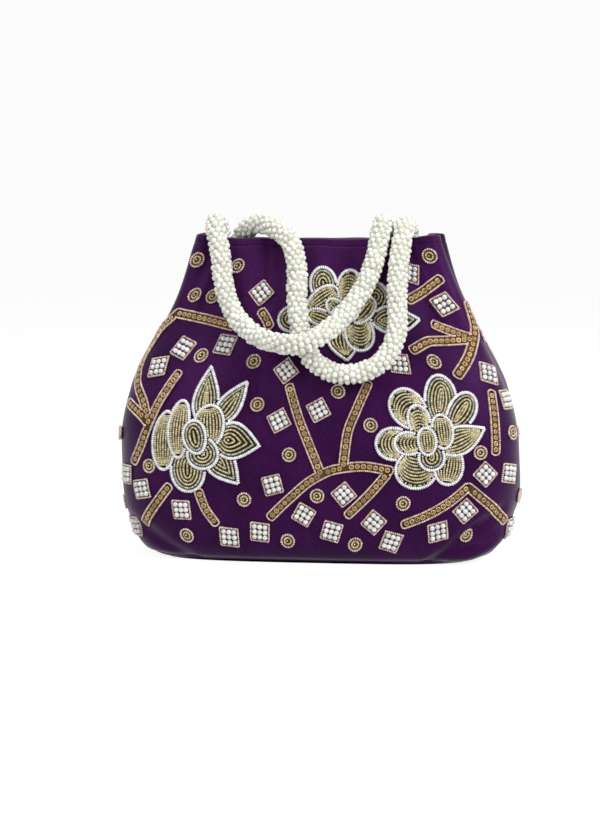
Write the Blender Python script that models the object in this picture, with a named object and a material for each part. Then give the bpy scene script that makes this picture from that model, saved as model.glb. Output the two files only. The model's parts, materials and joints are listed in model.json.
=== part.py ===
"""Potli bag: a stiffened satin bag with a narrow mouth, bead embroidery and two pearl rope handles.

Run with: blender --background --python part.py
Metres, +Z up. The bag stands on its base, and its front faces -Y.
A place on the bag is given as a turn and a share: the turn runs in quarters round the bag from the
front centre (0) by way of the +X side (1) to the back centre (2), and the share runs up the body.
"""
import math
from functools import lru_cache

import bmesh
import bpy
import numpy as np
from mathutils import Vector

# Body
BODY_HEIGHT = 0.187
BELLY_HEIGHT = 0.068
BASE_WIDTH = 0.190
BELLY_WIDTH = 0.235
MOUTH_WIDTH = 0.149
BASE_DEPTH = 0.076
BELLY_DEPTH = 0.0945
MOUTH_DEPTH = 0.024
SIDE_FOLD_DEPTH = 0.009
SIDE_FOLD_SPREAD = 0.42
WALL = 0.0018

# Base and lining
BASE_THICKNESS = 0.0025
BASE_ROUNDING = 0.0010
BOARD_THICKNESS = 0.0020
BOARD_CLEARANCE = 0.0006
LINING_WALL = 0.0006
LINING_CLEARANCE = 0.0005
FACING_DEPTH = 0.019
GAP = 0.0003

# Embroidery. The pattern's sizes are those on a panel of the height and half girth given first, and
# they are stretched with the body.
PATTERN_HEIGHT = 0.187
PATTERN_HALF_GIRTH = 0.3295
SQUARE_SIDE = 0.0117
SQUARE_HEIGHT = 0.0015
SQUARE_CROWN = 0.0002
ROSETTE_RADIUS = 0.0044
ROSETTE_HEIGHT = 0.0020
STEM_WIDTH = 0.0062
STEM_HEIGHT = 0.0020
STEM_STEP = 0.010
STEM_LAYER = 0.0001
FLOWER_SCALE = 0.030
PETAL_HEIGHT = 0.0018
PETAL_LAYER = 0.0004
PETAL_FOOT_LAYER = 0.0001
PETAL_CROWN = 0.0002
TRIM_CLEARANCE = 0.00085
PAD_ROOT = 0.0013

# Handles and closure
ROPE_DIAMETER = 0.0125
ROPE_STEP = 0.025
ROPE_TURN = math.radians(36)
ANCHOR_LENGTH = 0.014
ANCHOR_WIDTH = 0.018
ANCHOR_MIDDLE_THICKNESS = 0.0083
ANCHOR_THICKNESS = 0.004
ANCHOR_CLEARANCE = 0.0010
SNAP_RADIUS = 0.007
SNAP_THICKNESS = 0.0022
SNAP_DROP = 0.010
SNAP_CLEARANCE = 0.0006

# The outline at nine heights: four below the belly, the belly, and four above it. Each row says how far
# a measure has gone from its size at the base to the belly, then from the belly to the mouth.
HEIGHTS_BELOW, HEIGHTS_ABOVE = (0, 0.07, 0.18, 0.66), (0.27, 0.52, 0.77, 1)
WIDTH_BELOW, WIDTH_ABOVE = (0, 0.36, 0.60, 0.96), (0.16, 0.48, 0.80, 1)
DEPTH_BELOW, DEPTH_ABOVE = (0, 0.42, 0.77, 1.08), (0.16, 0.40, 0.68, 1)
SQUARENESS = (3.4, 3.4, 3.3, 3.1, 3.0, 3.0, 3.1, 3.7, 5.0)
FOLD_SHARES = (0, 0, 0, 0, 0, 0, 0.19, 0.9, 1)

QUARTER_FACETS = 8
SIDE_CROWDING = 1.6
OUTER_BANDS = 8
BASE_CROWDING = 1.4
OUTLINE_STEPS = 500
OVAL_POINTS = 8
INNER_SHARES = (0.22, 0.50, 0.76)
CURVE_SAMPLES = 20
TURN_STEP, HEIGHT_STEP = 0.01, 0.001
SMOOTH_ANGLE = math.radians(35)

# Embroidery layout on the front, as (turn, share) places. The back repeats it half a turn round.
SQUARES = (
    (-0.317, 0.832, 45), (-0.438, 0.674, -8), (-0.650, 0.661, -20), (-0.736, 0.600, 12),
    (-0.117, 0.597, 40), (-0.130, 0.447, 30), (0.033, 0.480, 28), (-0.150, 0.251, 15),
    (-0.212, 0.103, -6), (-0.025, 0.161, -30), (0.090, 0.110, -15), (0.137, 0.225, 40),
    (0.262, 0.140, -38), (0.342, 0.080, -15), (0.529, 0.112, 15), (0.630, 0.174, 45),
    (0.706, 0.285, 45), (0.822, 0.282, -10), (0.808, 0.586, -20), (0.868, 0.505, 0),
    (0.408, 0.622, -5), (0.590, 0.895, -15), (-0.536, 0.165, 0), (-0.346, 0.085, -5),
    (-0.712, 0.222, 10), (-0.808, 0.262, 0), (-0.835, 0.093, 0), (0.900, 0.108, 0),
    (0.735, 0.797, 20),
)
ROSETTES = (
    (-0.508, 0.913), (-0.717, 0.822), (-0.604, 0.820), (-0.542, 0.640), (-0.275, 0.624),
    (-0.228, 0.495), (0.117, 0.537), (0.246, 0.437), (-0.083, 0.345), (-0.267, 0.204),
    (0.030, 0.220), (0.375, 0.201), (-0.533, 0.085), (-0.096, 0.077), (0.192, 0.070),
    (0.667, 0.092), (0.930, 0.205), (0.686, 0.352), (0.850, 0.405), (0.920, 0.700),
    (0.570, 0.627), (0.740, 0.940), (-0.672, 0.296), (-0.890, 0.385), (-0.900, 0.165),
    (-0.780, 0.925),
)
BRANCHES = {
    "left_branch": (
        ((-0.775, 0.765), (-0.600, 0.751), (-0.429, 0.730)),
        ((-0.775, 0.765), (-0.838, 0.700), (-0.860, 0.627), (-0.822, 0.550), (-0.746, 0.489),
         (-0.688, 0.425)),
        ((-0.618, 0.585), (-0.640, 0.545), (-0.671, 0.484), (-0.688, 0.425)),
        ((-0.838, 0.484), (-0.742, 0.452), (-0.688, 0.425)),
        ((-0.688, 0.425), (-0.715, 0.360), (-0.750, 0.305)),
    ),
    "left_lower_stem": (((-0.582, 0.236), (-0.642, 0.184), (-0.735, 0.112)),),
    "left_foot_stem": (((-0.454, 0.225), (-0.433, 0.175), (-0.395, 0.128)),),
    "neck_stem": (((-0.294, 0.775), (-0.262, 0.755), (-0.232, 0.730)),),
    "centre_branch": (
        ((-0.096, 0.550), (-0.050, 0.458), (-0.004, 0.376), (0.045, 0.285)),
        ((0.250, 0.563), (0.196, 0.489), (0.150, 0.407), (0.133, 0.309)),
        ((0.322, 0.300), (0.212, 0.312), (0.104, 0.302), (0.012, 0.270), (-0.079, 0.212),
         (-0.163, 0.151)),
        ((0.306, 0.287), (0.240, 0.228), (0.155, 0.162)),
    ),
    "right_lower_branch": (
        ((0.634, 0.248), (0.558, 0.201), (0.471, 0.162), (0.385, 0.135)),
        ((0.634, 0.248), (0.692, 0.212), (0.829, 0.135)),
    ),
    "right_side_stem": (((0.786, 0.530), (0.772, 0.475), (0.757, 0.405), (0.752, 0.350)),),
    "right_branch": (
        ((0.858, 0.791), (0.842, 0.728), (0.775, 0.661), (0.655, 0.585)),
        ((0.487, 0.662), (0.600, 0.689), (0.800, 0.690)),
        ((0.642, 0.740), (0.800, 0.690)),
    ),
    "right_neck_stem": (((0.546, 0.812), (0.663, 0.844), (0.760, 0.872)),),
}
# Each petal runs from its root to its tip, in shares of FLOWER_SCALE from the flower's centre, and has a
# width in the same shares and a layer: a higher layer lies on the one below.
FLOWERS = {
    "left_flower": ((-0.442, 0.389), (
        ("leaf", (0.00, 0.30), (-0.14, 1.40), 0.50, 0), ("leaf", (0.25, 0.30), (0.77, 1.12), 0.44, 0),
        ("leaf", (0.25, 0.02), (1.17, -0.12), 0.66, 1), ("leaf", (0.15, -0.20), (0.75, -0.88), 0.52, 0),
        ("round", (-0.27, -0.20), (-0.27, -1.05), 0.70, 0), ("round", (-0.80, 0.42), (-0.77, -0.65), 0.50, 0),
        ("round", (-0.46, -0.32), (-0.53, 0.72), 0.44, 1), ("round", (0.18, -0.08), (0.04, 0.64), 0.60, 2),
        ("round", (-0.06, -0.22), (-0.24, 0.34), 0.46, 3), ("round", (0.02, -0.05), (0.04, -0.60), 0.62, 2),
    )),
    "right_flower": ((0.487, 0.407), (
        ("round", (0.17, 0.25), (0.45, 1.13), 0.64, 0), ("round", (-0.16, 0.22), (-0.62, 0.82), 0.70, 0),
        ("round", (-0.20, 0.05), (-0.20, 0.58), 0.44, 1), ("round", (-0.38, -0.16), (-1.07, -0.16), 0.62, 0),
        ("round", (-0.22, -0.15), (-0.72, -0.15), 0.44, 1), ("round", (0.40, 0.16), (0.98, 0.76), 0.50, 1),
        ("leaf", (0.17, -0.25), (1.09, 0.13), 0.50, 2), ("round", (0.37, -0.30), (0.26, -0.95), 0.56, 1),
        ("round", (-0.28, -0.34), (-0.33, -1.02), 0.78, 0), ("round", (0.22, -0.18), (0.22, 0.40), 0.42, 3),
        ("round", (-0.08, -0.30), (-0.10, 0.16), 0.36, 3), ("round", (-0.02, -0.20), (0.00, -0.68), 0.50, 2),
    )),
    "top_flower": ((0.171, 0.762), (
        ("round", (-0.38, 0.35), (-0.47, 0.93), 0.58, 0), ("round", (0.06, 0.20), (0.22, 0.90), 0.54, 1),
        ("round", (0.42, 0.22), (0.90, 0.54), 0.56, 0), ("leaf", (0.55, -0.08), (1.45, -0.05), 0.50, 0),
        ("round", (0.26, 0.00), (0.22, -0.66), 0.54, 1), ("leaf", (-0.07, -0.25), (-0.02, -0.86), 0.52, 0),
        ("round", (-0.72, -0.10), (-1.28, -0.02), 0.50, 0), ("round", (-0.68, 0.14), (-0.10, 0.52), 0.44, 1),
        ("round", (-0.24, -0.10), (-0.74, 0.06), 0.32, 2), ("round", (0.10, -0.06), (-0.34, 0.30), 0.34, 3),
        ("round", (0.22, -0.06), (0.62, 0.34), 0.34, 2), ("round", (-0.18, 0.02), (0.28, 0.10), 0.36, 4),
        ("round", (-0.30, -0.12), (-0.84, -0.44), 0.46, 1),
    )),
}
ROUND_PETAL_POINTS = 7
LEAF_OUTLINE = ((0, 0), (0.22, 0.46), (0.62, 0.42), (1, 0), (0.62, -0.42), (0.22, -0.46))

# Each handle hangs forward over the front of the mouth, and both of its ends go down inside the bag.
# The third number of each point is a share of the body's height.
FRONT_HANDLE_ROUTE = (
    (-0.0550, -0.0110, 0.8556), (-0.0563, -0.0086, 0.9037), (-0.0573, -0.0050, 0.9572),
    (-0.0580, -0.0026, 1.0000), (-0.0589, -0.0048, 1.0332), (-0.0595, -0.0110, 1.0481),
    (-0.0590, -0.0172, 1.0332), (-0.0575, -0.0208, 0.9989), (-0.0546, -0.0250, 0.9476),
    (-0.0521, -0.0310, 0.8636), (-0.0469, -0.0361, 0.7866), (-0.0372, -0.0411, 0.7262),
    (-0.0231, -0.0492, 0.6925), (-0.0096, -0.0560, 0.6845), (-0.0024, -0.0571, 0.6893),
    (0.0058, -0.0540, 0.7102), (0.0149, -0.0450, 0.7492), (0.0236, -0.0370, 0.8053),
    (0.0311, -0.0312, 0.8754), (0.0354, -0.0256, 0.9487), (0.0370, -0.0212, 0.9989),
    (0.0380, -0.0175, 1.0332), (0.0384, -0.0112, 1.0481), (0.0386, -0.0048, 1.0332),
    (0.0388, -0.0026, 1.0000), (0.0388, -0.0050, 0.9572), (0.0388, -0.0086, 0.9037),
    (0.0388, -0.0110, 0.8556),
)
BACK_HANDLE_ROUTE = (
    (-0.0480, 0.0110, 0.8556), (-0.0478, 0.0086, 0.9037), (-0.0475, 0.0050, 0.9572),
    (-0.0464, 0.0026, 1.0053), (-0.0435, 0.0006, 1.0428), (-0.0385, -0.0030, 1.0642),
    (-0.0325, -0.0080, 1.0695), (-0.0258, -0.0137, 1.0578), (-0.0200, -0.0188, 1.0310),
    (-0.0155, -0.0220, 0.9979), (-0.0119, -0.0249, 0.9594), (-0.0094, -0.0309, 0.8813),
    (-0.0088, -0.0366, 0.7957), (-0.0070, -0.0402, 0.7326), (-0.0030, -0.0439, 0.6690),
    (0.0069, -0.0471, 0.6123), (0.0200, -0.0480, 0.5930), (0.0344, -0.0468, 0.6096),
    (0.0454, -0.0431, 0.6642), (0.0492, -0.0385, 0.7406), (0.0484, -0.0338, 0.8251),
    (0.0485, -0.0283, 0.9080), (0.0494, -0.0240, 0.9668), (0.0503, -0.0202, 1.0123),
    (0.0512, -0.0145, 1.0455), (0.0520, -0.0075, 1.0545), (0.0522, -0.0010, 1.0401),
    (0.0518, 0.0026, 1.0053), (0.0515, 0.0050, 0.9572), (0.0512, 0.0086, 0.9037),
    (0.0510, 0.0110, 0.8556),
)


def clear_scene():
    for item in list(bpy.data.objects):
        bpy.data.objects.remove(item, do_unlink=True)


def make_material(name, colour, roughness, metallic=0.0):
    material = bpy.data.materials.new(name)
    material.use_nodes = True
    shader = material.node_tree.nodes["Principled BSDF"]
    shader.inputs["Base Color"].default_value = (*colour, 1)
    shader.inputs["Roughness"].default_value = roughness
    shader.inputs["Metallic"].default_value = metallic
    return material


def add_solid(name, mesh_builder, material, helper=False):
    """Makes a named object from a bmesh, with its faces turned outwards."""
    bmesh.ops.recalc_face_normals(mesh_builder, faces=mesh_builder.faces)
    mesh = bpy.data.meshes.new(name)
    mesh_builder.to_mesh(mesh)
    mesh_builder.free()
    mesh.materials.append(material)
    mesh.shade_smooth()
    mesh.set_sharp_from_angle(angle=SMOOTH_ANGLE)
    solid = bpy.data.objects.new(name, mesh)
    bpy.context.scene.collection.objects.link(solid)
    if helper:
        solid.hide_render = True
        solid.display_type = "WIRE"
    return solid


def mix(start, end, share):
    return start + (end - start) * share


def smooth_slopes(places, values):
    """Slopes for a curve through the points that never swings past them."""
    steps = np.diff(places)
    rises = np.diff(values) / steps
    slopes = np.zeros(len(values))
    slopes[0], slopes[-1] = rises[0], rises[-1]
    for k in range(1, len(values) - 1):
        if rises[k - 1] * rises[k] > 0:
            before, after = 2 * steps[k] + steps[k - 1], steps[k] + 2 * steps[k - 1]
            slopes[k] = (before + after) / (before / rises[k - 1] + after / rises[k])
    return slopes


def smooth_value(place, places, values):
    """The value at a place on the smooth curve through the points."""
    place = min(max(place, places[0]), places[-1])
    k = min(int(np.searchsorted(places, place, side="right")) - 1, len(places) - 2)
    step = places[k + 1] - places[k]
    slopes = smooth_slopes(places, values)
    t = (place - places[k]) / step
    ends = values[k] * (1 + 2 * t) * (1 - t) ** 2 + values[k + 1] * t * t * (3 - 2 * t)
    return ends + step * (slopes[k] * t * (1 - t) ** 2 - slopes[k + 1] * t * t * (1 - t))


def measure_along(base, belly, mouth, below, above):
    """One measure of the body at the nine heights of its outline."""
    lower = [mix(base, belly, s) for s in below]
    upper = [mix(belly, mouth, s) for s in above]
    return lower + [belly] + upper


STATION_HEIGHTS = measure_along(0, BELLY_HEIGHT, BODY_HEIGHT, HEIGHTS_BELOW, HEIGHTS_ABOVE)
WIDTHS = measure_along(BASE_WIDTH, BELLY_WIDTH, MOUTH_WIDTH, WIDTH_BELOW, WIDTH_ABOVE)
DEPTHS = measure_along(BASE_DEPTH, BELLY_DEPTH, MOUTH_DEPTH, DEPTH_BELOW, DEPTH_ABOVE)
FOLD_DEPTHS = [SIDE_FOLD_DEPTH * s for s in FOLD_SHARES]


@lru_cache(maxsize=None)
def outline(height):
    """A quarter of the outline at one height, from front centre to side: points, normals and lengths."""
    width, depth, power, fold = (
        smooth_value(height, STATION_HEIGHTS, values)
        for values in (WIDTHS, DEPTHS, SQUARENESS, FOLD_DEPTHS)
    )
    angle = np.linspace(0, math.pi / 2, OUTLINE_STEPS)
    x = width / 2 * np.sin(angle) ** (2 / power)
    y = -depth / 2 * np.cos(angle) ** (2 / power)
    x -= fold * np.exp(-((y / (SIDE_FOLD_SPREAD * depth / 2)) ** 2))
    points = np.stack([x, y], axis=1)
    lengths = np.concatenate([[0], np.cumsum(np.hypot(np.diff(x), np.diff(y)))])
    across, along = np.gradient(x), np.gradient(y)
    normals = np.stack([along, -across], axis=1) / np.hypot(across, along)[:, None]
    normals[0], normals[-1] = (0, -1), (1, 0)
    return points, normals, lengths


def surface(turn, height, inset=0.0):
    """The point at a turn and a height on the outer face, or set in from it."""
    points, normals, lengths = outline(round(height, 6))
    turn = (turn + 2) % 4 - 2
    from_front = min(abs(turn), 2 - abs(turn))
    length = from_front * lengths[-1]
    x, y, normal_x, normal_y = (
        float(np.interp(length, lengths, values)) for values in (*points.T, *normals.T)
    )
    side = math.copysign(1, turn)
    face = 1 if abs(turn) <= 1 else -1
    return Vector((side * (x - inset * normal_x), face * (y - inset * normal_y), height))


def lifted(turn, height, lift):
    """The point that stands off the outer face by lift, square to it."""
    across = surface(turn + TURN_STEP, height) - surface(turn - TURN_STEP, height)
    up = surface(turn, height + HEIGHT_STEP) - surface(turn, height - HEIGHT_STEP)
    return surface(turn, height) + lift * across.cross(up).normalized()


def quarter_length(height):
    return outline(round(height, 6))[2][-1]


def crowded(share, crowding):
    return 1 - (1 - share) ** crowding


QUARTER_TURNS = [crowded(k / QUARTER_FACETS, SIDE_CROWDING) for k in range(QUARTER_FACETS)]
BACK_TURNS = [2 - turn for turn in [1.0] + QUARTER_TURNS[:0:-1]]
HALF_TURNS = QUARTER_TURNS + BACK_TURNS
TURNS = HALF_TURNS + [2 + turn for turn in HALF_TURNS]


def add_ring(builder, height, inset):
    return [builder.verts.new(surface(turn, height, inset)) for turn in TURNS]


def bridge(builder, first, second):
    """Joins two rings by triangles whose diagonals lie the same way on both faces of a wall."""
    rising = second[0].co.z > first[0].co.z
    for here in range(len(first)):
        after = (here + 1) % len(first)
        a, b, c, d = first[here], first[after], second[after], second[here]
        corners = ((a, b, d), (b, c, d)) if rising else ((a, b, c), (a, c, d))
        for corner in corners:
            builder.faces.new(corner)


def loft(builder, rings, closed):
    """Joins rings in order: round to the first ring again when closed, or with a cap at each end."""
    for first, second in zip(rings, rings[1:]):
        bridge(builder, first, second)
    if closed:
        bridge(builder, rings[-1], rings[0])
    else:
        builder.faces.new(rings[0])
        builder.faces.new(rings[-1])


SEAM_HEIGHT = BASE_THICKNESS + GAP
BOARD_TOP = SEAM_HEIGHT + BOARD_THICKNESS
LINING_BOTTOM = BOARD_TOP + GAP
LINING_TOP = BODY_HEIGHT - FACING_DEPTH
LINING_INSET = WALL + LINING_CLEARANCE
LINING_HEIGHTS = [LINING_BOTTOM] + [BODY_HEIGHT * s for s in INNER_SHARES] + [LINING_TOP]


STRETCH_ACROSS = (BELLY_WIDTH + BELLY_DEPTH) / PATTERN_HALF_GIRTH
STRETCH_UP = BODY_HEIGHT / PATTERN_HEIGHT


def outer_heights():
    top = BODY_HEIGHT - WALL / 2
    shares = [(k / OUTER_BANDS) ** BASE_CROWDING for k in range(OUTER_BANDS + 1)]
    return [mix(SEAM_HEIGHT, top, share) for share in shares]


def pad(builder, outline_points, centre, low, high, crown):
    """A closed low mound on the bag: an outline of (turn, height) points, with a flat or a crowned top."""
    foot = [builder.verts.new(lifted(turn, height, low)) for turn, height in outline_points]
    brow = [builder.verts.new(lifted(turn, height, high)) for turn, height in outline_points]
    foot_centre = builder.verts.new(lifted(*centre, low))
    brow_centre = builder.verts.new(lifted(*centre, high + crown)) if crown else None
    for here in range(len(foot)):
        after = (here + 1) % len(foot)
        builder.faces.new((foot[after], foot[here], foot_centre))
        builder.faces.new((foot[here], foot[after], brow[after], brow[here]))
        if crown:
            builder.faces.new((brow[here], brow[after], brow_centre))
    if not crown:
        builder.faces.new(brow)


def beside(centre, across, up):
    """The (turn, height) point at a pattern distance across and up from a (turn, height) centre."""
    turn = across * STRETCH_ACROSS / quarter_length(centre[1])
    return (centre[0] + turn, centre[1] + up * STRETCH_UP)


def regular_outline(centre, radius, sides, first_angle):
    corners = [first_angle + 2 * math.pi * k / sides for k in range(sides)]
    return [beside(centre, radius * math.cos(a), radius * math.sin(a)) for a in corners]


def placed(place, side_turn):
    return (place[0] + side_turn, place[1] * BODY_HEIGHT)


def build_motif_pads(material):
    """Every square and rosette of both sides, rooted in the wall so that they fuse with the shell."""
    builder = bmesh.new()
    for side_turn in (0, 2):
        for turn, share, angle in SQUARES:
            centre = placed((turn, share), side_turn)
            first_corner = math.radians(angle + 45)
            corners = regular_outline(centre, SQUARE_SIDE / math.sqrt(2), 4, first_corner)
            pad(builder, corners, centre, -PAD_ROOT, SQUARE_HEIGHT, SQUARE_CROWN)
        for place in ROSETTES:
            centre = placed(place, side_turn)
            corners = regular_outline(centre, ROSETTE_RADIUS, 6, 0)
            pad(builder, corners, centre, -PAD_ROOT, ROSETTE_HEIGHT, 0)
    return add_solid("motif_pads", builder, material, helper=True)


def fuse(solid, helpers):
    """Joins helper solids to a solid as one body."""
    group = bpy.data.collections.new(solid.name + "_fused")
    bpy.context.scene.collection.children.link(group)
    for helper in helpers:
        group.objects.link(helper)
        bpy.context.scene.collection.objects.unlink(helper)
    union = solid.modifiers.new("union", "BOOLEAN")
    union.operation = "UNION"
    union.solver = "EXACT"
    union.operand_type = "COLLECTION"
    union.collection = group


def build_outer_shell(fabric, beads):
    builder = bmesh.new()
    rings = [add_ring(builder, height, 0) for height in outer_heights()]
    rings.append(add_ring(builder, BODY_HEIGHT, WALL / 2))
    rings.append(add_ring(builder, BODY_HEIGHT - WALL / 2, WALL))
    rings += [add_ring(builder, height, WALL) for height in reversed(LINING_HEIGHTS)]
    rings.append(add_ring(builder, SEAM_HEIGHT, WALL))
    loft(builder, rings, closed=True)
    shell = add_solid("outer_shell", builder, fabric)
    fuse(shell, [build_motif_pads(beads)])
    return shell


def build_base_panel(material):
    builder = bmesh.new()
    levels = ((0, BASE_ROUNDING), (BASE_ROUNDING, 0), (BASE_THICKNESS, 0))
    rings = [add_ring(builder, height, inset) for height, inset in levels]
    loft(builder, rings, closed=False)
    return add_solid("base_panel", builder, material)


def build_base_board(material):
    builder = bmesh.new()
    foot = add_ring(builder, SEAM_HEIGHT, WALL + BOARD_CLEARANCE)
    brow = [builder.verts.new((v.co.x, v.co.y, BOARD_TOP)) for v in foot]
    loft(builder, [foot, brow], closed=False)
    return add_solid("base_board", builder, material)


def build_lining(material):
    builder = bmesh.new()
    inner = LINING_INSET + LINING_WALL
    rings = [add_ring(builder, height, LINING_INSET) for height in LINING_HEIGHTS]
    rings += [add_ring(builder, height, inner) for height in reversed(LINING_HEIGHTS[1:])]
    rings.append(add_ring(builder, LINING_BOTTOM + LINING_WALL, inner))
    loft(builder, rings, closed=False)
    return add_solid("lining", builder, material)


def petal_outline(kind, root, tip, width):
    """A petal's outline in shares of FLOWER_SCALE: an oval, or a pointed leaf."""
    axis = (tip[0] - root[0], tip[1] - root[1])
    length = math.hypot(*axis)
    if kind == "leaf":
        shape = LEAF_OUTLINE
    else:
        angles = [2 * math.pi * k / ROUND_PETAL_POINTS for k in range(ROUND_PETAL_POINTS)]
        shape = [(0.5 - 0.5 * math.cos(a), 0.5 * math.sin(a)) for a in angles]
    across = (-axis[1] / length * width, axis[0] / length * width)
    return [
        (root[0] + s * axis[0] + w * across[0], root[1] + s * axis[1] + w * across[1])
        for s, w in shape
    ]


def build_flower(name, centre, petals, material):
    solids = []
    for number, (kind, root, tip, width, layer) in enumerate(petals):
        builder = bmesh.new()
        shares = petal_outline(kind, root, tip, width)
        middle = ((root[0] + tip[0]) / 2, (root[1] + tip[1]) / 2)
        corners = [beside(centre, x * FLOWER_SCALE, y * FLOWER_SCALE) for x, y in shares]
        heart = beside(centre, middle[0] * FLOWER_SCALE, middle[1] * FLOWER_SCALE)
        low = TRIM_CLEARANCE + layer * PETAL_FOOT_LAYER
        pad(builder, corners, heart, low, PETAL_HEIGHT + layer * PETAL_LAYER, PETAL_CROWN)
        piece = name if number == 0 else f"{name}_petal_{number}"
        solids.append(add_solid(piece, builder, material, helper=number > 0))
    fuse(solids[0], solids[1:])
    return solids[0]


def smooth_route(points, spacing, turning=math.inf):
    """Points on a smooth curve through a route's own points, closer together where it turns."""
    places = np.array(points, dtype=float)
    chords = np.linalg.norm(np.diff(places, axis=0), axis=1)
    knots = np.concatenate([[0], np.cumsum(chords)])
    dense = np.linspace(0, knots[-1], CURVE_SAMPLES * len(points))
    columns = [[smooth_value(t, knots, column) for t in dense] for column in places.T]
    curve = np.stack(columns, axis=1)
    steps = np.diff(curve, axis=0)
    lengths = np.linalg.norm(steps, axis=1)
    ahead = steps / lengths[:, None]
    cosines = (ahead[1:] * ahead[:-1]).sum(axis=1)
    turns = np.concatenate([[0], np.arccos(np.clip(cosines, -1, 1))])
    measure = np.concatenate([[0], np.cumsum(lengths / spacing + turns / turning)])
    stops = np.linspace(0, measure[-1], max(2, round(measure[-1])) + 1)
    return np.stack([np.interp(stops, measure, column) for column in curve.T], axis=1)


def add_stem(builder, places, side_turn, layer):
    """A low band along a route of (turn, share) places."""
    mean_share = sum(share for _, share in places) / len(places)
    girth = quarter_length(mean_share * BODY_HEIGHT) / STRETCH_ACROSS
    flat = [((turn + side_turn) * girth, share * PATTERN_HEIGHT) for turn, share in places]
    route = smooth_route(flat, STEM_STEP)
    ahead = np.gradient(route, axis=0)
    ahead /= np.linalg.norm(ahead, axis=1)[:, None]
    low = TRIM_CLEARANCE + layer
    rings = []
    for (x, height), (run, rise) in zip(route, ahead):
        half = STEM_WIDTH / 2
        left = ((x - rise * half) / girth, (height + run * half) * STRETCH_UP)
        right = ((x + rise * half) / girth, (height - run * half) * STRETCH_UP)
        high = STEM_HEIGHT + layer
        corners = ((left, low), (right, low), (right, high), (left, high))
        rings.append([builder.verts.new(lifted(*place, lift)) for place, lift in corners])
    loft(builder, rings, closed=False)


def build_branch(name, stems, side_turn, material):
    solids = []
    for number, places in enumerate(stems):
        builder = bmesh.new()
        add_stem(builder, places, side_turn, number * STEM_LAYER)
        piece = name if number == 0 else f"{name}_stem_{number}"
        solids.append(add_solid(piece, builder, material, helper=number > 0))
    if len(solids) > 1:
        fuse(solids[0], solids[1:])
    return solids[0]


def build_embroidery(beads, zari):
    for side, side_turn in (("front", 0), ("back", 2)):
        for name, (place, petals) in FLOWERS.items():
            build_flower(f"{side}_{name}", placed(place, side_turn), petals, beads)
        for name, stems in BRANCHES.items():
            build_branch(f"{side}_{name}", stems, side_turn, zari)


def rope_points(route):
    """The middle line of a rope, from a route whose heights are shares of the body's."""
    raised = [(x, y, share * BODY_HEIGHT) for x, y, share in route]
    return smooth_route(raised, ROPE_STEP, ROPE_TURN)


def build_handle(name, route, material):
    curve = bpy.data.curves.new(name, "CURVE")
    curve.dimensions = "3D"
    curve.bevel_depth = ROPE_DIAMETER / 2
    curve.bevel_resolution = 2
    curve.use_fill_caps = True
    points = rope_points(route)
    spline = curve.splines.new("POLY")
    spline.points.add(len(points) - 1)
    for spline_point, point in zip(spline.points, points):
        spline_point.co = (*point, 1)
    curve.materials.append(material)
    handle = bpy.data.objects.new(name, curve)
    bpy.context.scene.collection.objects.link(handle)
    return handle


def oval_ring(builder, centre, width_axis, depth_axis):
    """A ring of points round a centre, at the ends of two half axes."""
    angles = [2 * math.pi * k / OVAL_POINTS for k in range(OVAL_POINTS)]
    points = [centre + math.cos(a) * width_axis + math.sin(a) * depth_axis for a in angles]
    return [builder.verts.new(point) for point in points]


def build_anchor(name, route, material):
    """The wrapped end of a rope, flattened into a tongue that is sewn to the wall of the bag."""
    before, end = (Vector(point) for point in rope_points(route)[-2:])
    ahead = (end - before).normalized()
    across = Vector((1, 0, 0))
    across = (across - across.dot(ahead) * ahead).normalized()
    through = ahead.cross(across)
    face = math.copysign(1, end.y)
    bottom = end.z - ANCHOR_LENGTH
    wall = wall_depth_at(abs(end.x) + ANCHOR_WIDTH / 2, bottom) - LINING_INSET - LINING_WALL
    depth = wall - ANCHOR_CLEARANCE - ANCHOR_THICKNESS / 2
    tongue = Vector((end.x, face * depth, bottom))
    start = end + GAP * ahead
    builder = bmesh.new()
    sections = (
        (start, ROPE_DIAMETER, ROPE_DIAMETER),
        ((start + tongue) / 2, ANCHOR_WIDTH, ANCHOR_MIDDLE_THICKNESS),
        (tongue, ANCHOR_WIDTH, ANCHOR_THICKNESS),
    )
    rings = [
        oval_ring(builder, centre, across * width / 2, through * thickness / 2)
        for centre, width, thickness in sections
    ]
    loft(builder, rings, closed=False)
    return add_solid(name, builder, material)


def wall_depth_at(x, height):
    """Half the depth of the body at one height, at a distance x from its middle."""
    points = outline(round(height, 6))[0]
    return -float(np.interp(abs(x), points[:, 0], points[:, 1]))


def build_snap(name, face, material):
    """One half of the snap: a disc against the lining, near the middle of the mouth."""
    height = LINING_TOP - SNAP_DROP
    rise = wall_depth_at(0, height + SNAP_RADIUS) - wall_depth_at(0, height - SNAP_RADIUS)
    up_wall = Vector((0, face * rise / 2, SNAP_RADIUS))
    inwards = Vector((0, -face * SNAP_RADIUS, rise / 2)).normalized()
    depth = wall_depth_at(0, height) - LINING_INSET - LINING_WALL
    back = Vector((0, face * depth, height)) + SNAP_CLEARANCE * inwards
    builder = bmesh.new()
    rings = [
        oval_ring(builder, back + lift * inwards, Vector((SNAP_RADIUS, 0, 0)), up_wall)
        for lift in (0, SNAP_THICKNESS)
    ]
    loft(builder, rings, closed=False)
    return add_solid(name, builder, material)


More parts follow.
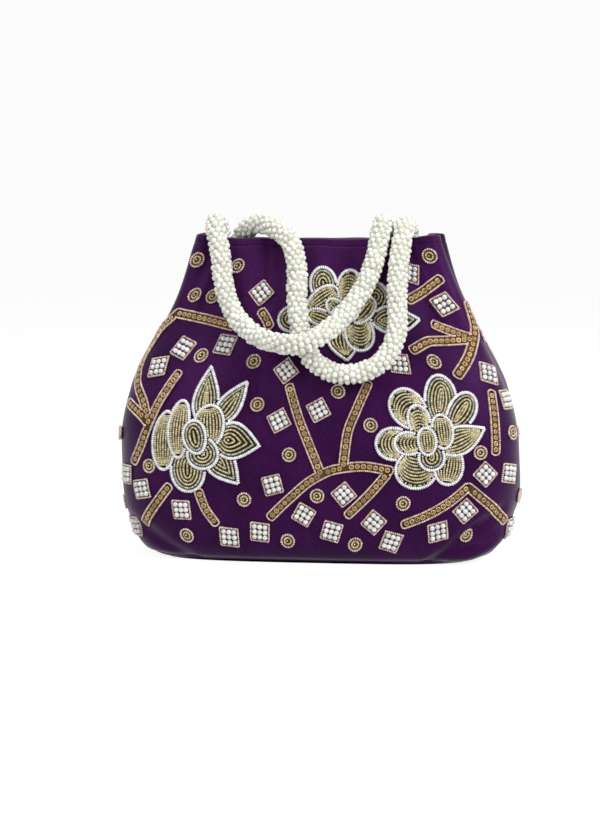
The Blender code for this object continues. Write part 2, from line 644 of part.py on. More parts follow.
def build_bag():
    clear_scene()
    satin = make_material("purple_satin", (0.060, 0.008, 0.110), 0.42)
    lining = make_material("brown_lining", (0.110, 0.055, 0.060), 0.60)
    board = make_material("grey_board", (0.300, 0.290, 0.280), 0.80)
    pearl = make_material("ivory_pearl", (0.800, 0.800, 0.700), 0.25)
    beads = make_material("white_beads", (0.750, 0.730, 0.680), 0.30)
    zari = make_material("antique_gold", (0.320, 0.200, 0.090), 0.35, 0.8)
    steel = make_material("snap_metal", (0.500, 0.470, 0.420), 0.30, 1.0)

    build_outer_shell(satin, beads)
    build_base_panel(satin)
    build_base_board(board)
    build_lining(lining)
    build_embroidery(beads, zari)
    build_handle("front_handle", FRONT_HANDLE_ROUTE, pearl)
    build_handle("back_handle", BACK_HANDLE_ROUTE, pearl)
    for name, route in (("front", FRONT_HANDLE_ROUTE), ("back", BACK_HANDLE_ROUTE)):
        build_anchor(f"{name}_handle_left_end", route[::-1], satin)
        build_anchor(f"{name}_handle_right_end", route, satin)
    build_snap("snap_socket", -1, steel)
    build_snap("snap_stud", 1, steel)


build_bag()
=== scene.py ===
# %% [markdown]
# # A beaded potli bag
# A potli is a small Indian pouch bag. This one is purple satin over a stiffener, with a flat oval base,
# a full belly and a narrow mouth. Glass beads and imitation pearls are sewn on both panels, and two
# ropes of pearls are the handles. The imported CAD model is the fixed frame, and each visible piece is
# made here around it, in metres, with the front facing -Y.

# %% Load the frame
import json
import math

import bpy
import numpy as np
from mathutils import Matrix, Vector

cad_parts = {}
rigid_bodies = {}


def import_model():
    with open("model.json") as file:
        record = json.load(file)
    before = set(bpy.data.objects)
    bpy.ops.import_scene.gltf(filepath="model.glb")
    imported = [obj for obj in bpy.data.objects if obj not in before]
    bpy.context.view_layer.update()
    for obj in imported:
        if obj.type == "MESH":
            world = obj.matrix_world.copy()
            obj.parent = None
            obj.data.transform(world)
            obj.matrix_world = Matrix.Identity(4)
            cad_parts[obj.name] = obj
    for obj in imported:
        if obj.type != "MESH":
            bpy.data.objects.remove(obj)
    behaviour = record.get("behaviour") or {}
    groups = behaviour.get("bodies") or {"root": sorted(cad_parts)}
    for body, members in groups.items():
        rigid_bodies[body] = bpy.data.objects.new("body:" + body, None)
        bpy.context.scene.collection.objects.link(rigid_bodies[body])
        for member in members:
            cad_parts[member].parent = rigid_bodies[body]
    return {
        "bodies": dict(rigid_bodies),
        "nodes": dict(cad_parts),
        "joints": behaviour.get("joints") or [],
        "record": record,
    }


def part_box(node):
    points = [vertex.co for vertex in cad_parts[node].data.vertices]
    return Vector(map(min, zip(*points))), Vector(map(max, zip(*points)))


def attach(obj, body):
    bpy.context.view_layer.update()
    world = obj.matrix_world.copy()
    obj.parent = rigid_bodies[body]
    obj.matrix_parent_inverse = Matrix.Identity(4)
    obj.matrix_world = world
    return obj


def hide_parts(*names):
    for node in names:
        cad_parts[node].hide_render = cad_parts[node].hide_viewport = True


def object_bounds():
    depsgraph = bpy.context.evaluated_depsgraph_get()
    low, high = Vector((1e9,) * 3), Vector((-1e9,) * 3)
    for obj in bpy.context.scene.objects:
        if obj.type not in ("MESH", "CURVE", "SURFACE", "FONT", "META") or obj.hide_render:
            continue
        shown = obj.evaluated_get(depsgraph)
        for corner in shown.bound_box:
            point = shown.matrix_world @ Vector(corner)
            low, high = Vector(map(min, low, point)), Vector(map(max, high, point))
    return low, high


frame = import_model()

scene = bpy.context.scene
cad_low, cad_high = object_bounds()
chance = np.random.default_rng(7)
print("CAD box, mm:", [round(1000 * (h - l), 1) for l, h in zip(cad_low, cad_high)])

# %% [markdown]
# ## Camera, light and floor
# The photograph was taken with a long lens, almost straight on: seven degrees to the right of the middle
# and six above it. Its light is soft and comes more from the right, so the stronger of two wide lamps
# stands there, the weaker one on the left, and a third hangs overhead. Only the camera and mirrors see
# the floor and the world as white, so neither of them floods the bag with light.

# %% Camera
CAMERA_TURN = math.radians(7)
CAMERA_RISE = math.radians(6)
CAMERA_DISTANCE = 1.3
CAMERA_LENS = 96.4


def show(name, data):
    """A new object in the scene, from its mesh, curve, lamp or camera data."""
    thing = bpy.data.objects.new(name, data)
    scene.collection.objects.link(thing)
    return thing


camera_data = bpy.data.cameras.new("camera")
camera_data.lens = CAMERA_LENS
camera_data.sensor_width = 36
camera = show("camera", camera_data)
backwards = Vector((
    math.sin(CAMERA_TURN) * math.cos(CAMERA_RISE),
    -math.cos(CAMERA_TURN) * math.cos(CAMERA_RISE),
    math.sin(CAMERA_RISE),
))
rightwards = Vector((math.cos(CAMERA_TURN), math.sin(CAMERA_TURN), 0))
upwards = backwards.cross(rightwards)
aim = Vector((0, 0, 0.095)) - 0.0115 * rightwards - 0.0099 * upwards
camera.location = aim + CAMERA_DISTANCE * backwards
camera.rotation_mode = "QUATERNION"
camera.rotation_quaternion = (-backwards).to_track_quat("-Z", "Y")
scene.camera = camera
scene.view_settings.view_transform = "Standard"


# %% Colours and nodes
def linear(code):
    """An sRGB hex colour as linear numbers, with full alpha."""
    values = [int(code[k:k + 2], 16) / 255 for k in (1, 3, 5)]
    return [v / 12.92 if v <= 0.04045 else ((v + 0.055) / 1.055) ** 2.4 for v in values] + [1.0]


def add(owner, kind, values=None, **settings):
    """Adds a node with its settings. A value is a number, a colour code, or a node or socket to link."""
    node = owner.node_tree.nodes.new(kind)
    for name, value in settings.items():
        setattr(node, name, value)
    for name, value in (values or {}).items():
        if isinstance(value, bpy.types.Node):
            value = value.outputs[0]
        if isinstance(value, bpy.types.NodeSocket):
            owner.node_tree.links.new(value, node.inputs[name])
        else:
            node.inputs[name].default_value = linear(value) if isinstance(value, str) else value
    return node


def emptied(owner):
    """The new material or world, with nodes switched on and none left in it."""
    owner.use_nodes = True
    owner.node_tree.nodes.clear()
    return owner


def seen_rays(owner):
    """A node that gives 1 to rays from the camera, mirrors and glass, and 0 to all others."""
    rays = add(owner, "ShaderNodeLightPath").outputs
    pair = add(owner, "ShaderNodeMath", {0: rays["Is Camera Ray"], 1: rays["Is Glossy Ray"]},
               operation="MAXIMUM")
    return add(owner, "ShaderNodeMath", {0: pair, 1: rays["Is Transmission Ray"]}, operation="MAXIMUM")


# %% Floor, sky and lamps
FLOOR_GLOW = 0.885
SKY_LIGHT = 0.24
SKY_SEEN = 0.97
LAMPS = {
    "lamp_left": ((-0.75, -0.95, 0.85), 0.7, 5.6),
    "lamp_right": ((0.95, -0.70, 0.75), 0.5, 11.0),
    "lamp_top": ((0.05, -0.15, 1.30), 0.6, 6.4),
}

floor_paint = emptied(bpy.data.materials.new("matt_floor_paint"))
lit_floor = add(floor_paint, "ShaderNodeBsdfDiffuse", {"Color": "#9C9C9C"})
glow = add(floor_paint, "ShaderNodeEmission", {"Color": "#FFFFFF", "Strength": FLOOR_GLOW})
white_floor = add(floor_paint, "ShaderNodeAddShader", {0: lit_floor, 1: glow})
plain_floor = add(floor_paint, "ShaderNodeBsdfDiffuse", {"Color": "#E6E6E6"})
floor_switch = add(floor_paint, "ShaderNodeMixShader",
                   {0: seen_rays(floor_paint), 1: plain_floor, 2: white_floor})
add(floor_paint, "ShaderNodeOutputMaterial", {"Surface": floor_switch})

floor_mesh = bpy.data.meshes.new("floor")
floor_mesh.from_pydata([(-3, -3, 0), (3, -3, 0), (3, 3, 0), (-3, 3, 0)], [], [(0, 1, 2, 3)])
floor_mesh.materials.append(floor_paint)
floor = show("floor", floor_mesh)
floor.location.z = cad_low.z - 0.0004

sky = emptied(bpy.data.worlds.new("sky"))
scene.world = sky
brightness = add(sky, "ShaderNodeMapRange", {"Value": seen_rays(sky), "To Min": SKY_LIGHT,
                                             "To Max": SKY_SEEN})
sky_light = add(sky, "ShaderNodeBackground", {"Color": "#FFFFFF", "Strength": brightness})
add(sky, "ShaderNodeOutputWorld", {"Surface": sky_light})

for name, (place, size, power) in LAMPS.items():
    lamp_data = bpy.data.lights.new(name, "AREA")
    lamp_data.shape = "DISK"
    lamp_data.size = size
    lamp_data.energy = power
    lamp = show(name, lamp_data)
    lamp.location = place
    lamp.rotation_mode = "QUATERNION"
    lamp.rotation_quaternion = (Vector((0, 0, 0.09)) - Vector(place)).to_track_quat("-Z", "Y")
print("lamps:", len(LAMPS), "with", sum(power for _, _, power in LAMPS.values()), "W in all")

# %% [markdown]
# ## The shape of the bag
# The outline at any height is a squared oval, which is folded in at the side seams near the mouth. Its
# width and depth run on smooth curves through nine heights. A place on the bag is a turn, in quarters
# round it from the front centre, and a height. All the beads are placed in these terms, so they follow
# the cloth wherever it bulges or creases.

# %% The body's sizes, the same as in the CAD
BODY_HEIGHT = 0.187
BASE_THICKNESS = 0.0025
WALL = 0.0018
SIDE_FOLD_SPREAD = 0.42
CORNER_RISE = 0.0030
CORNER_SPREAD = 0.28
HEIGHTS = [0, 0.00476, 0.01224, 0.04488, 0.068, 0.10013, 0.12988, 0.15963, 0.187]
WIDTHS = [0.190, 0.2062, 0.217, 0.2332, 0.235, 0.22124, 0.19372, 0.1662, 0.149]
DEPTHS = [0.076, 0.08377, 0.090245, 0.09598, 0.0945, 0.08322, 0.0663, 0.04656, 0.024]
SQUARENESS = [3.4, 3.4, 3.3, 3.1, 3.0, 3.0, 3.1, 3.7, 5.0]
FOLDS = [0, 0, 0, 0, 0, 0, 0.00171, 0.0081, 0.009]


def smooth_value(place, places, values):
    """The value at a place on a smooth curve through the points that never swings past them."""
    steps = np.diff(places)
    rises = np.diff(values) / steps
    slopes = np.zeros(len(values))
    slopes[0], slopes[-1] = rises[0], rises[-1]
    for k in range(1, len(values) - 1):
        if rises[k - 1] * rises[k] > 0:
            before, after = 2 * steps[k] + steps[k - 1], steps[k] + 2 * steps[k - 1]
            slopes[k] = (before + after) / (before / rises[k - 1] + after / rises[k])
    k = np.clip(np.searchsorted(places, place, side="right") - 1, 0, len(places) - 2)
    places, values = np.asarray(places), np.asarray(values)
    t = np.clip((place - places[k]) / steps[k], 0, 1)
    ends = values[k] * (1 + 2 * t) * (1 - t) ** 2 + values[k + 1] * t * t * (3 - 2 * t)
    return ends + steps[k] * (slopes[k] * t * (1 - t) ** 2 - slopes[k + 1] * t * t * (1 - t))


def run(points):
    """How far along a line each of its points is."""
    return np.concatenate([[0], np.cumsum(np.linalg.norm(np.diff(points, axis=0), axis=1))])


def points_at(stops, lengths, points):
    """The points at some stops on a line, where lengths says how far along its own points are."""
    return np.stack([np.interp(stops, lengths, column) for column in points.T], axis=1)


# %% A table of the outline, to look places up in
TABLE_HEIGHTS = np.linspace(0, BODY_HEIGHT, 188)
TABLE_SHARES = np.linspace(0, 1, 201)


def quarter_outline(height):
    """A quarter of the outline from front centre to side, at equal steps of length, and its length."""
    width, depth, power, fold = (
        float(smooth_value(height, HEIGHTS, row)) for row in (WIDTHS, DEPTHS, SQUARENESS, FOLDS)
    )
    angle = np.linspace(0, math.pi / 2, 500)
    x = width / 2 * np.sin(angle) ** (2 / power)
    y = -depth / 2 * np.cos(angle) ** (2 / power)
    x -= fold * np.exp(-((y / (SIDE_FOLD_SPREAD * depth / 2)) ** 2))
    line = np.stack([x, y], axis=1)
    lengths = run(line)
    return points_at(TABLE_SHARES * lengths[-1], lengths, line).T, lengths[-1]


outlines = [quarter_outline(height) for height in TABLE_HEIGHTS]
TABLE = np.array([line for line, _ in outlines])
QUARTERS = np.array([length for _, length in outlines])


def quarter_length(height):
    return float(np.interp(height, TABLE_HEIGHTS, QUARTERS))


def wrapped(turn):
    """The same turn, between -2 and 2."""
    return (turn + 2) % 4 - 2


def bare_point(turn, height):
    """Points on the bag before its folds, from arrays of turns and heights."""
    turn = wrapped(turn)
    share = np.minimum(abs(turn), 2 - abs(turn)) * (len(TABLE_SHARES) - 1)
    row = np.clip(height / BODY_HEIGHT, 0, 1) * (len(TABLE_HEIGHTS) - 1)
    column = np.clip(share.astype(int), 0, len(TABLE_SHARES) - 2)
    level = np.clip(row.astype(int), 0, len(TABLE_HEIGHTS) - 2)
    u, v = share - column, row - level
    x, y = (
        (1 - v) * ((1 - u) * TABLE[level, axis, column] + u * TABLE[level, axis, column + 1])
        + v * ((1 - u) * TABLE[level + 1, axis, column] + u * TABLE[level + 1, axis, column + 1])
        for axis in (0, 1)
    )
    near_side = np.exp(-(((abs(turn) - 1) / CORNER_SPREAD) ** 2))
    height = height + CORNER_RISE * near_side * np.clip(height / BODY_HEIGHT * 5 - 4, 0, 1) ** 2
    side = np.where(turn < 0, -1.0, 1.0)
    face = np.where(abs(turn) <= 1, 1.0, -1.0)
    return np.stack([side * x, face * y, height], axis=-1)


print("girth at the belly, mm:", round(4000 * quarter_length(0.068)))

# %% [markdown]
# ## The folds of the cloth
# Satin over a stiffener doesn't hang in deep folds. It lies in shallow ridges that fan down from the
# drawn-in mouth, with broad dents, a few sharp creases and slow waves, and it dips where a row of
# stitches pulls it in. A cloth simulation would move the cloth away from the beads sewn on it, so the
# folds are given one by one, as sums of ridges.

# %% Folds
HEM_DEPTH = 0.0043
HEM_DIP = 0.00035
HEM_SPREAD = 0.0006
EDGE_ROLL = 0.0016
EDGE_SPREAD = 0.0024
WAVE_RISE = 0.00045
CLOTH_QUARTER = 0.150
# Each ridge of the fan: its turn, how wide it is, and how far it rises at the mouth.
FAN = [
    (-0.91, 0.05, -0.0022), (-0.79, 0.06, 0.0022), (-0.57, 0.07, -0.0010), (-0.36, 0.09, 0.0010),
    (-0.10, 0.13, 0.0006), (0.22, 0.10, -0.0010), (0.45, 0.08, 0.0009), (0.63, 0.06, -0.0011),
    (0.79, 0.06, 0.0026), (0.91, 0.05, -0.0023), (1.22, 0.07, 0.0016), (1.50, 0.12, -0.0010),
    (1.78, 0.10, 0.0008), (2.10, 0.14, -0.0008), (2.42, 0.10, 0.0010), (2.63, 0.08, -0.0010),
    (2.79, 0.07, 0.0016),
]
# Each dent or bulge: its turn and share of the height, how wide and tall it is, and how far it rises.
DENTS = [
    (1.00, 0.80, 0.17, 0.12, 0.0032), (0.97, 0.20, 0.16, 0.10, 0.0026), (0.74, 0.09, 0.09, 0.045, -0.0022),
    (0.55, 0.13, 0.10, 0.05, 0.0010), (-0.76, 0.08, 0.09, 0.045, -0.0016), (0.05, 0.30, 0.22, 0.16, 0.0008),
    (-0.45, 0.62, 0.10, 0.10, -0.0008), (1.30, 0.10, 0.10, 0.05, -0.0018), (2.75, 0.09, 0.10, 0.05, -0.0018),
    (2.05, 0.34, 0.25, 0.15, 0.0008), (-0.24, 0.42, 0.025, 0.22, -0.0007), (0.62, 0.30, 0.05, 0.20, -0.0008),
    (1.70, 0.40, 0.03, 0.20, -0.0007),
]
# Each crease: the turn and share of the height of both its ends, how wide it is, and how far it rises.
CREASES = [
    (0.56, 0.02, 0.80, 0.17, 0.0042, -0.0034), (0.68, 0.015, 0.93, 0.11, 0.0052, 0.0028),
    (-0.58, 0.02, -0.84, 0.12, 0.0050, -0.0024), (0.66, 0.99, 0.72, 0.72, 0.0040, 0.0011),
    (0.50, 0.99, 0.42, 0.60, 0.0045, -0.0009), (-0.66, 0.99, -0.70, 0.70, 0.0045, 0.0010),
    (-0.34, 0.99, -0.26, 0.72, 0.0045, -0.0009), (0.05, 0.99, 0.02, 0.84, 0.0050, 0.0008),
    (0.30, 0.10, 0.42, 0.24, 0.0050, 0.0010), (1.10, 0.02, 1.30, 0.16, 0.0045, -0.0020),
    (2.60, 0.02, 2.84, 0.16, 0.0045, -0.0020), (1.40, 0.02, 1.22, 0.12, 0.0050, 0.0014),
    (2.40, 0.99, 2.30, 0.66, 0.0045, -0.0010), (1.66, 0.99, 1.74, 0.70, 0.0045, -0.0010),
]


def swell(turn, height):
    """How far the cloth stands off its smooth shape, in metres."""
    share = np.clip(height / BODY_HEIGHT, 0, 1)
    total = np.zeros_like(share)
    reach = np.clip((share - 0.30) / 0.55, 0, 1) ** 1.5
    for place, spread, rise in FAN:
        away = wrapped(turn - place * (1.15 - 0.15 * share))
        total += rise * reach * np.exp(-((away / (spread * (1.6 - 0.6 * share))) ** 2))
    for place, level, wide, tall, rise in DENTS:
        away = wrapped(turn - place)
        total += rise * np.exp(-((away / wide) ** 2) - ((share - level) / tall) ** 2)
    for place, level, end_place, end_level, wide, rise in CREASES:
        u, v = wrapped(turn - place) * CLOTH_QUARTER, (share - level) * BODY_HEIGHT
        a, b = (end_place - place) * CLOTH_QUARTER, (end_level - level) * BODY_HEIGHT
        along = np.clip((u * a + v * b) / (a * a + b * b), 0, 1)
        away = (u - along * a) ** 2 + (v - along * b) ** 2
        total += rise * (0.4 + 0.6 * np.sin(math.pi * along)) * np.exp(-away / wide ** 2)
    waves = np.sin(5.1 * turn * math.pi + 9 * share) * np.sin(7 * share + 2.2 * turn)
    waves += 0.6 * np.sin(8 * turn * math.pi / 2 - 13 * share + 1)
    total += WAVE_RISE * waves * np.clip(share / 0.15, 0, 1)
    total -= HEM_DIP * np.exp(-(((height - BODY_HEIGHT + HEM_DEPTH) / HEM_SPREAD) ** 2))
    return total - EDGE_ROLL * np.exp(-((height / EDGE_SPREAD) ** 2))


def on_bag(turn, height, lift=0.0):
    """Points that stand off the folded cloth by lift, and the directions across, up and out there."""
    turn, height = np.broadcast_arrays(np.asarray(turn, float), np.asarray(height, float))
    step_turn, step_height = 0.006, 0.0008
    across = bare_point(turn + step_turn, height) - bare_point(turn - step_turn, height)
    up = bare_point(turn, height + step_height) - bare_point(turn, height - step_height)
    out = np.cross(across, up)
    for direction in (across, out):
        direction /= np.linalg.norm(direction, axis=-1, keepdims=True)
    place = bare_point(turn, height) + out * (swell(turn, height) + lift)[..., None]
    return place, across, np.cross(out, across), out


folds_at = swell(*np.meshgrid(np.linspace(-2, 2, 400), np.linspace(0.02, BODY_HEIGHT, 200)))
print("the folds move the cloth, mm:", round(1000 * folds_at.min(), 1), "to", round(1000 * folds_at.max(), 1))

# %% [markdown]
# ## Making meshes
# Thousands of beads are too many for one object each, so the points of one bead are worked out once and
# copied in arrays, and every motif becomes one object. Each bead also gets a tone, a number from 0 to 1,
# that its material reads to make no two beads quite alike.

# %% Meshes from arrays
def join_parts(name, parts, materials, replaced=()):
    """One object from parts of (points, faces, material number, tones). It rides on the bag."""
    count, points, loops, sizes, numbers, tones = 0, [], [], [], [], []
    for part_points, faces, number, part_tones in parts:
        points.append(part_points)
        loops.append((faces + count).ravel())
        sizes.append(np.full(len(faces), faces.shape[1]))
        numbers.append(np.full(len(faces), number))
        tones.append(np.broadcast_to(part_tones, len(part_points)))
        count += len(part_points)
    points, loops, sizes = np.concatenate(points), np.concatenate(loops), np.concatenate(sizes)
    mesh = bpy.data.meshes.new(name)
    mesh.vertices.add(count)
    mesh.vertices.foreach_set("co", points.astype(np.float32).ravel())
    mesh.loops.add(len(loops))
    mesh.loops.foreach_set("vertex_index", loops.astype(np.int32))
    mesh.polygons.add(len(sizes))
    starts = np.concatenate([[0], np.cumsum(sizes)[:-1]]).astype(np.int32)
    mesh.polygons.foreach_set("loop_start", starts)
    for material in materials:
        mesh.materials.append(material)
    mesh.polygons.foreach_set("material_index", np.concatenate(numbers).astype(np.int32))
    mesh.polygons.foreach_set("use_smooth", np.ones(len(sizes), dtype=bool))
    tone = mesh.attributes.new("tone", "FLOAT", "POINT")
    tone.data.foreach_set("value", np.concatenate(tones).astype(np.float32))
    mesh.update(calc_edges=True)
    mesh.validate()
    piece = show(name, mesh)
    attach(piece, "root")
    if replaced:
        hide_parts(*replaced)
    return piece


def circle(count, radius=1.0):
    """Points round a circle."""
    turns = np.arange(count) * 2 * math.pi / count
    return radius * np.stack([np.cos(turns), np.sin(turns)], axis=1)


def grid_faces(rows, columns, round_columns=True, round_rows=False):
    """The four-cornered faces of a grid of points, closed or not round its columns and its rows."""
    row, column = np.meshgrid(np.arange(rows if round_rows else rows - 1),
                              np.arange(columns if round_columns else columns - 1), indexing="ij")
    below, after = (row + 1) % rows, (column + 1) % columns
    corners = (row * columns + column, row * columns + after,
               below * columns + after, below * columns + column)
    return np.stack([c.ravel() for c in corners], axis=1)


def halved(quads):
    return np.concatenate([quads[:, [0, 1, 2]], quads[:, [0, 2, 3]]])


def fan_faces(start, count, middle):
    """Triangles from a ring of points, numbered from start, to the point with the number middle."""
    here = np.arange(count)
    return np.stack([start + here, start + (here + 1) % count, np.full(count, middle)], axis=1)


def cap_part(ring, inwards=False):
    """A flat cap that closes a ring of points."""
    faces = fan_faces(0, len(ring), len(ring))
    return np.concatenate([ring, [ring.mean(axis=0)]]), faces[:, ::-1] if inwards else faces, 0, 0.5


# %% Beads
def dome(sides, rises):
    """A round bead as points and triangles: a ring at each rise in degrees, and a point on top."""
    rings = [np.hstack([circle(sides, math.cos(rise)), np.full((sides, 1), math.sin(rise))])
             for rise in np.radians(rises)]
    points = np.concatenate(rings + [[[0, 0, 1]]])
    cap = fan_faces((len(rises) - 1) * sides, sides, len(points) - 1)
    return points, np.concatenate([halved(grid_faces(len(rises), sides)), cap])


SEED = dome(6, (-25, 30))
PEARL = dome(10, (-30, 5, 38, 66))
STITCH = dome(6, (-40, 0, 40))


def bead_part(shape, places, along, out, size, number):
    """Copies of a bead at the places. Its size is (along the thread, across it, out from the cloth)."""
    places, along, out = (np.asarray(a, float) for a in (places, along, out))
    along = along - out * (along * out).sum(axis=1, keepdims=True)
    along /= np.linalg.norm(along, axis=1, keepdims=True)
    points, faces = shape
    half = np.broadcast_to(np.asarray(size, float), (len(places), 3)) / 2
    made = places[:, None]
    for k, direction in enumerate((along, np.cross(out, along), out)):
        made = made + points[:, k:k + 1] * (direction * half[:, k:k + 1])[:, None]
    all_faces = faces + (np.arange(len(places)) * len(points))[:, None, None]
    tones = np.repeat(chance.random(len(places)), len(points))
    return made.reshape(-1, 3), all_faces.reshape(-1, 3), number, tones


print("triangles in a seed bead:", len(SEED[1]), "and in a pearl:", len(PEARL[1]))


# %% Patterns on the cloth
def origin_at(turn, share):
    """The origin of a pattern: its turn, its height and the length of a quarter of the bag there."""
    return turn, share * BODY_HEIGHT, quarter_length(share * BODY_HEIGHT)


def unfold(origin, pattern):
    """Turns and heights of pattern points, given in metres across and up from an origin."""
    turn, height, girth = origin
    return turn + pattern[:, 0] / girth, height + pattern[:, 1]


def thread(origin, line, pitch, lift, closed):
    """Bead places at an even pitch along a line on the cloth, with their pattern points."""
    if closed:
        line = np.concatenate([line, line[:1]])
    places = on_bag(*unfold(origin, line), lift)[0]
    lengths = run(places)
    count = max(1, round(lengths[-1] / pitch))
    stops = (np.arange(count) + 0.5) * lengths[-1] / count
    pattern = points_at(stops, lengths, line)
    ahead = points_at(stops + 1e-4, lengths, places) - points_at(stops - 1e-4, lengths, places)
    spots, _, _, out = on_bag(*unfold(origin, pattern), lift)
    return pattern, spots, ahead, out


def string(parts, origin, line, pitch, size, lift, number, keep=None, closed=False, shape=SEED):
    """Adds a line of beads to the parts, leaving out those that keep says no to."""
    pattern, spots, ahead, out = thread(origin, line, pitch, lift, closed)
    chosen = np.ones(len(spots), dtype=bool) if keep is None else keep(pattern)
    if chosen.any():
        sizes = np.asarray(size) * (1 + chance.normal(0, 0.04, (chosen.sum(), 1)))
        parts.append(bead_part(shape, spots[chosen], ahead[chosen], out[chosen], sizes, number))


def pad_part(origin, outline, lift, number):
    """A low mound of felt under beads: the outline on the cloth, a brow just inside it, and a top."""
    middle, count = outline.mean(axis=0), len(outline)
    rings = [on_bag(*unfold(origin, middle + (outline - middle) * share), rise)[0]
             for share, rise in ((1.0, 0.0002), (0.97, lift * 0.8), (0.88, lift), (0.5, lift))]
    centre = on_bag(*unfold(origin, middle[None]), lift)[0]
    faces = np.concatenate([halved(grid_faces(4, count)), fan_faces(3 * count, count, 4 * count)])
    return np.concatenate(rings + [centre]), faces, number, 0.5


# %% [markdown]
# ## The satin
# The cloth is polyester satin dyed deep purple. Its long floating threads give a soft sheen that is
# brighter where the cloth turns away from the eye, and the light they reflect is tinted like the dye.
# Slubs and tiny unevenness in the weave break it up. The real threads are about 0.2 mm apart, too fine
# to show here, so the weave is drawn at 0.8 mm. The cotton lining and the felts are woven the same way,
# with a duller finish.

# %% Cloth materials
# Dark and light colour, tint of the gloss, roughness, sheen, pitch and relief of the threads.
SATIN = ("#200A25", "#3F1549", "#8E4FA8", 0.38, 0.10, 0.0008, 0.00012)
FELT_PITCH = 0.0006
FELT_RELIEF = 0.00008
# Patches of colour about 36 mm across, and slubs about 2.5 mm long and 0.7 mm thick: a Noise Texture's
# grains are about as large as one divided by its scale.
CLOUD_SCALE = 28.0
SLUB_SCALE = (400, 1500, 1500)


def band_scale(pitch):
    """The Wave Texture scale that repeats its bands at a pitch in metres."""
    return 2 * math.pi / (20 * pitch)


def woven_cloth(name, dark, light, tint, roughness, sheen, pitch, relief, mapping="Object"):
    """A woven cloth: threads both ways, slubs along one of them, and slow changes of colour."""
    cloth = emptied(bpy.data.materials.new(name))
    place = add(cloth, "ShaderNodeTexCoord").outputs[mapping]
    warp, weft = (
        add(cloth, "ShaderNodeTexWave", {"Vector": place, "Scale": band_scale(pitch), "Distortion": 1.2,
                                         "Detail": 1.0, "Detail Scale": 2.0}, bands_direction=way)
        for way in ("X", "Y" if mapping == "UV" else "Z"))
    threads = add(cloth, "ShaderNodeMath", {0: warp.outputs["Fac"], 1: weft.outputs["Fac"]},
                  operation="MULTIPLY")
    stretched = add(cloth, "ShaderNodeMapping", {"Vector": place, "Scale": SLUB_SCALE})
    slubs = add(cloth, "ShaderNodeTexNoise", {"Vector": stretched, "Scale": 1.0, "Detail": 3.0})
    clouds = add(cloth, "ShaderNodeTexNoise", {"Vector": place, "Scale": CLOUD_SCALE, "Detail": 3.0})
    mixed = add(cloth, "ShaderNodeMath", {0: slubs, 1: clouds}, operation="MULTIPLY")
    shade = add(cloth, "ShaderNodeMapRange", {"Value": mixed, "From Min": 0.10, "From Max": 0.44})
    colour = add(cloth, "ShaderNodeMix", {0: shade, 6: dark, 7: light}, data_type="RGBA")
    gloss = add(cloth, "ShaderNodeMapRange", {"Value": slubs, "From Min": 0.3, "From Max": 0.7,
                                              "To Min": roughness - 0.06, "To Max": roughness + 0.08})
    height = add(cloth, "ShaderNodeMath", {0: threads, 1: slubs}, operation="ADD")
    bump = add(cloth, "ShaderNodeBump", {"Height": height, "Strength": 0.35, "Distance": relief})
    shader = add(cloth, "ShaderNodeBsdfPrincipled", {
        "Base Color": colour.outputs[2], "Roughness": gloss, "Normal": bump,
        "IOR": 1.5, "Specular IOR Level": 0.33, "Specular Tint": tint,
        "Sheen Weight": sheen, "Sheen Roughness": 0.35, "Sheen Tint": tint})
    add(cloth, "ShaderNodeOutputMaterial", {"Surface": shader})
    return cloth


satin = woven_cloth("dyed_polyester_satin", *SATIN, "UV")
satin_trim = woven_cloth("dyed_polyester_satin_trim", *SATIN)
lining_cotton = woven_cloth("plain_weave_cotton_lining", "#6A4A50", "#947078", "#B09AA0", 0.72, 0.15,
                            0.0010, 0.00010)
# The felt under the petals is dark so that it paints shade in the gaps between the petals' bead strings.
gap_shade_felt, mauve_felt, brown_felt = (
    woven_cloth(name, dark, light, tint, roughness, 0.05, FELT_PITCH, FELT_RELIEF)
    for name, dark, light, tint, roughness in (
        ("dark_felt_painted_gap_shade", "#26221A", "#403A2C", "#302A2C", 0.85),
        ("mauve_backing_felt", "#4A3C44", "#6E5E66", "#8A7A82", 0.80),
        ("brown_backing_felt", "#46321F", "#6A5038", "#6A5440", 0.80)))
print("cloths:", satin.name, satin_trim.name, lining_cotton.name, "and three felts")

# %% [markdown]
# ## Bead, pearl and metal finishes
# The pearls are moulded plastic balls dipped in pearl lacquer: a pale body under a clear coat, a few of
# them creamier or greener than the rest. The seed beads are glass, some opaque white with a lustre, some
# lined with silver, gold or copper, so they are partly metal. The sequins are thin stamped metal with an
# aged gold finish.


# %% Bead materials
SPECK_SCALE = 900.0  # specks of lacquer or dye about a millimetre across


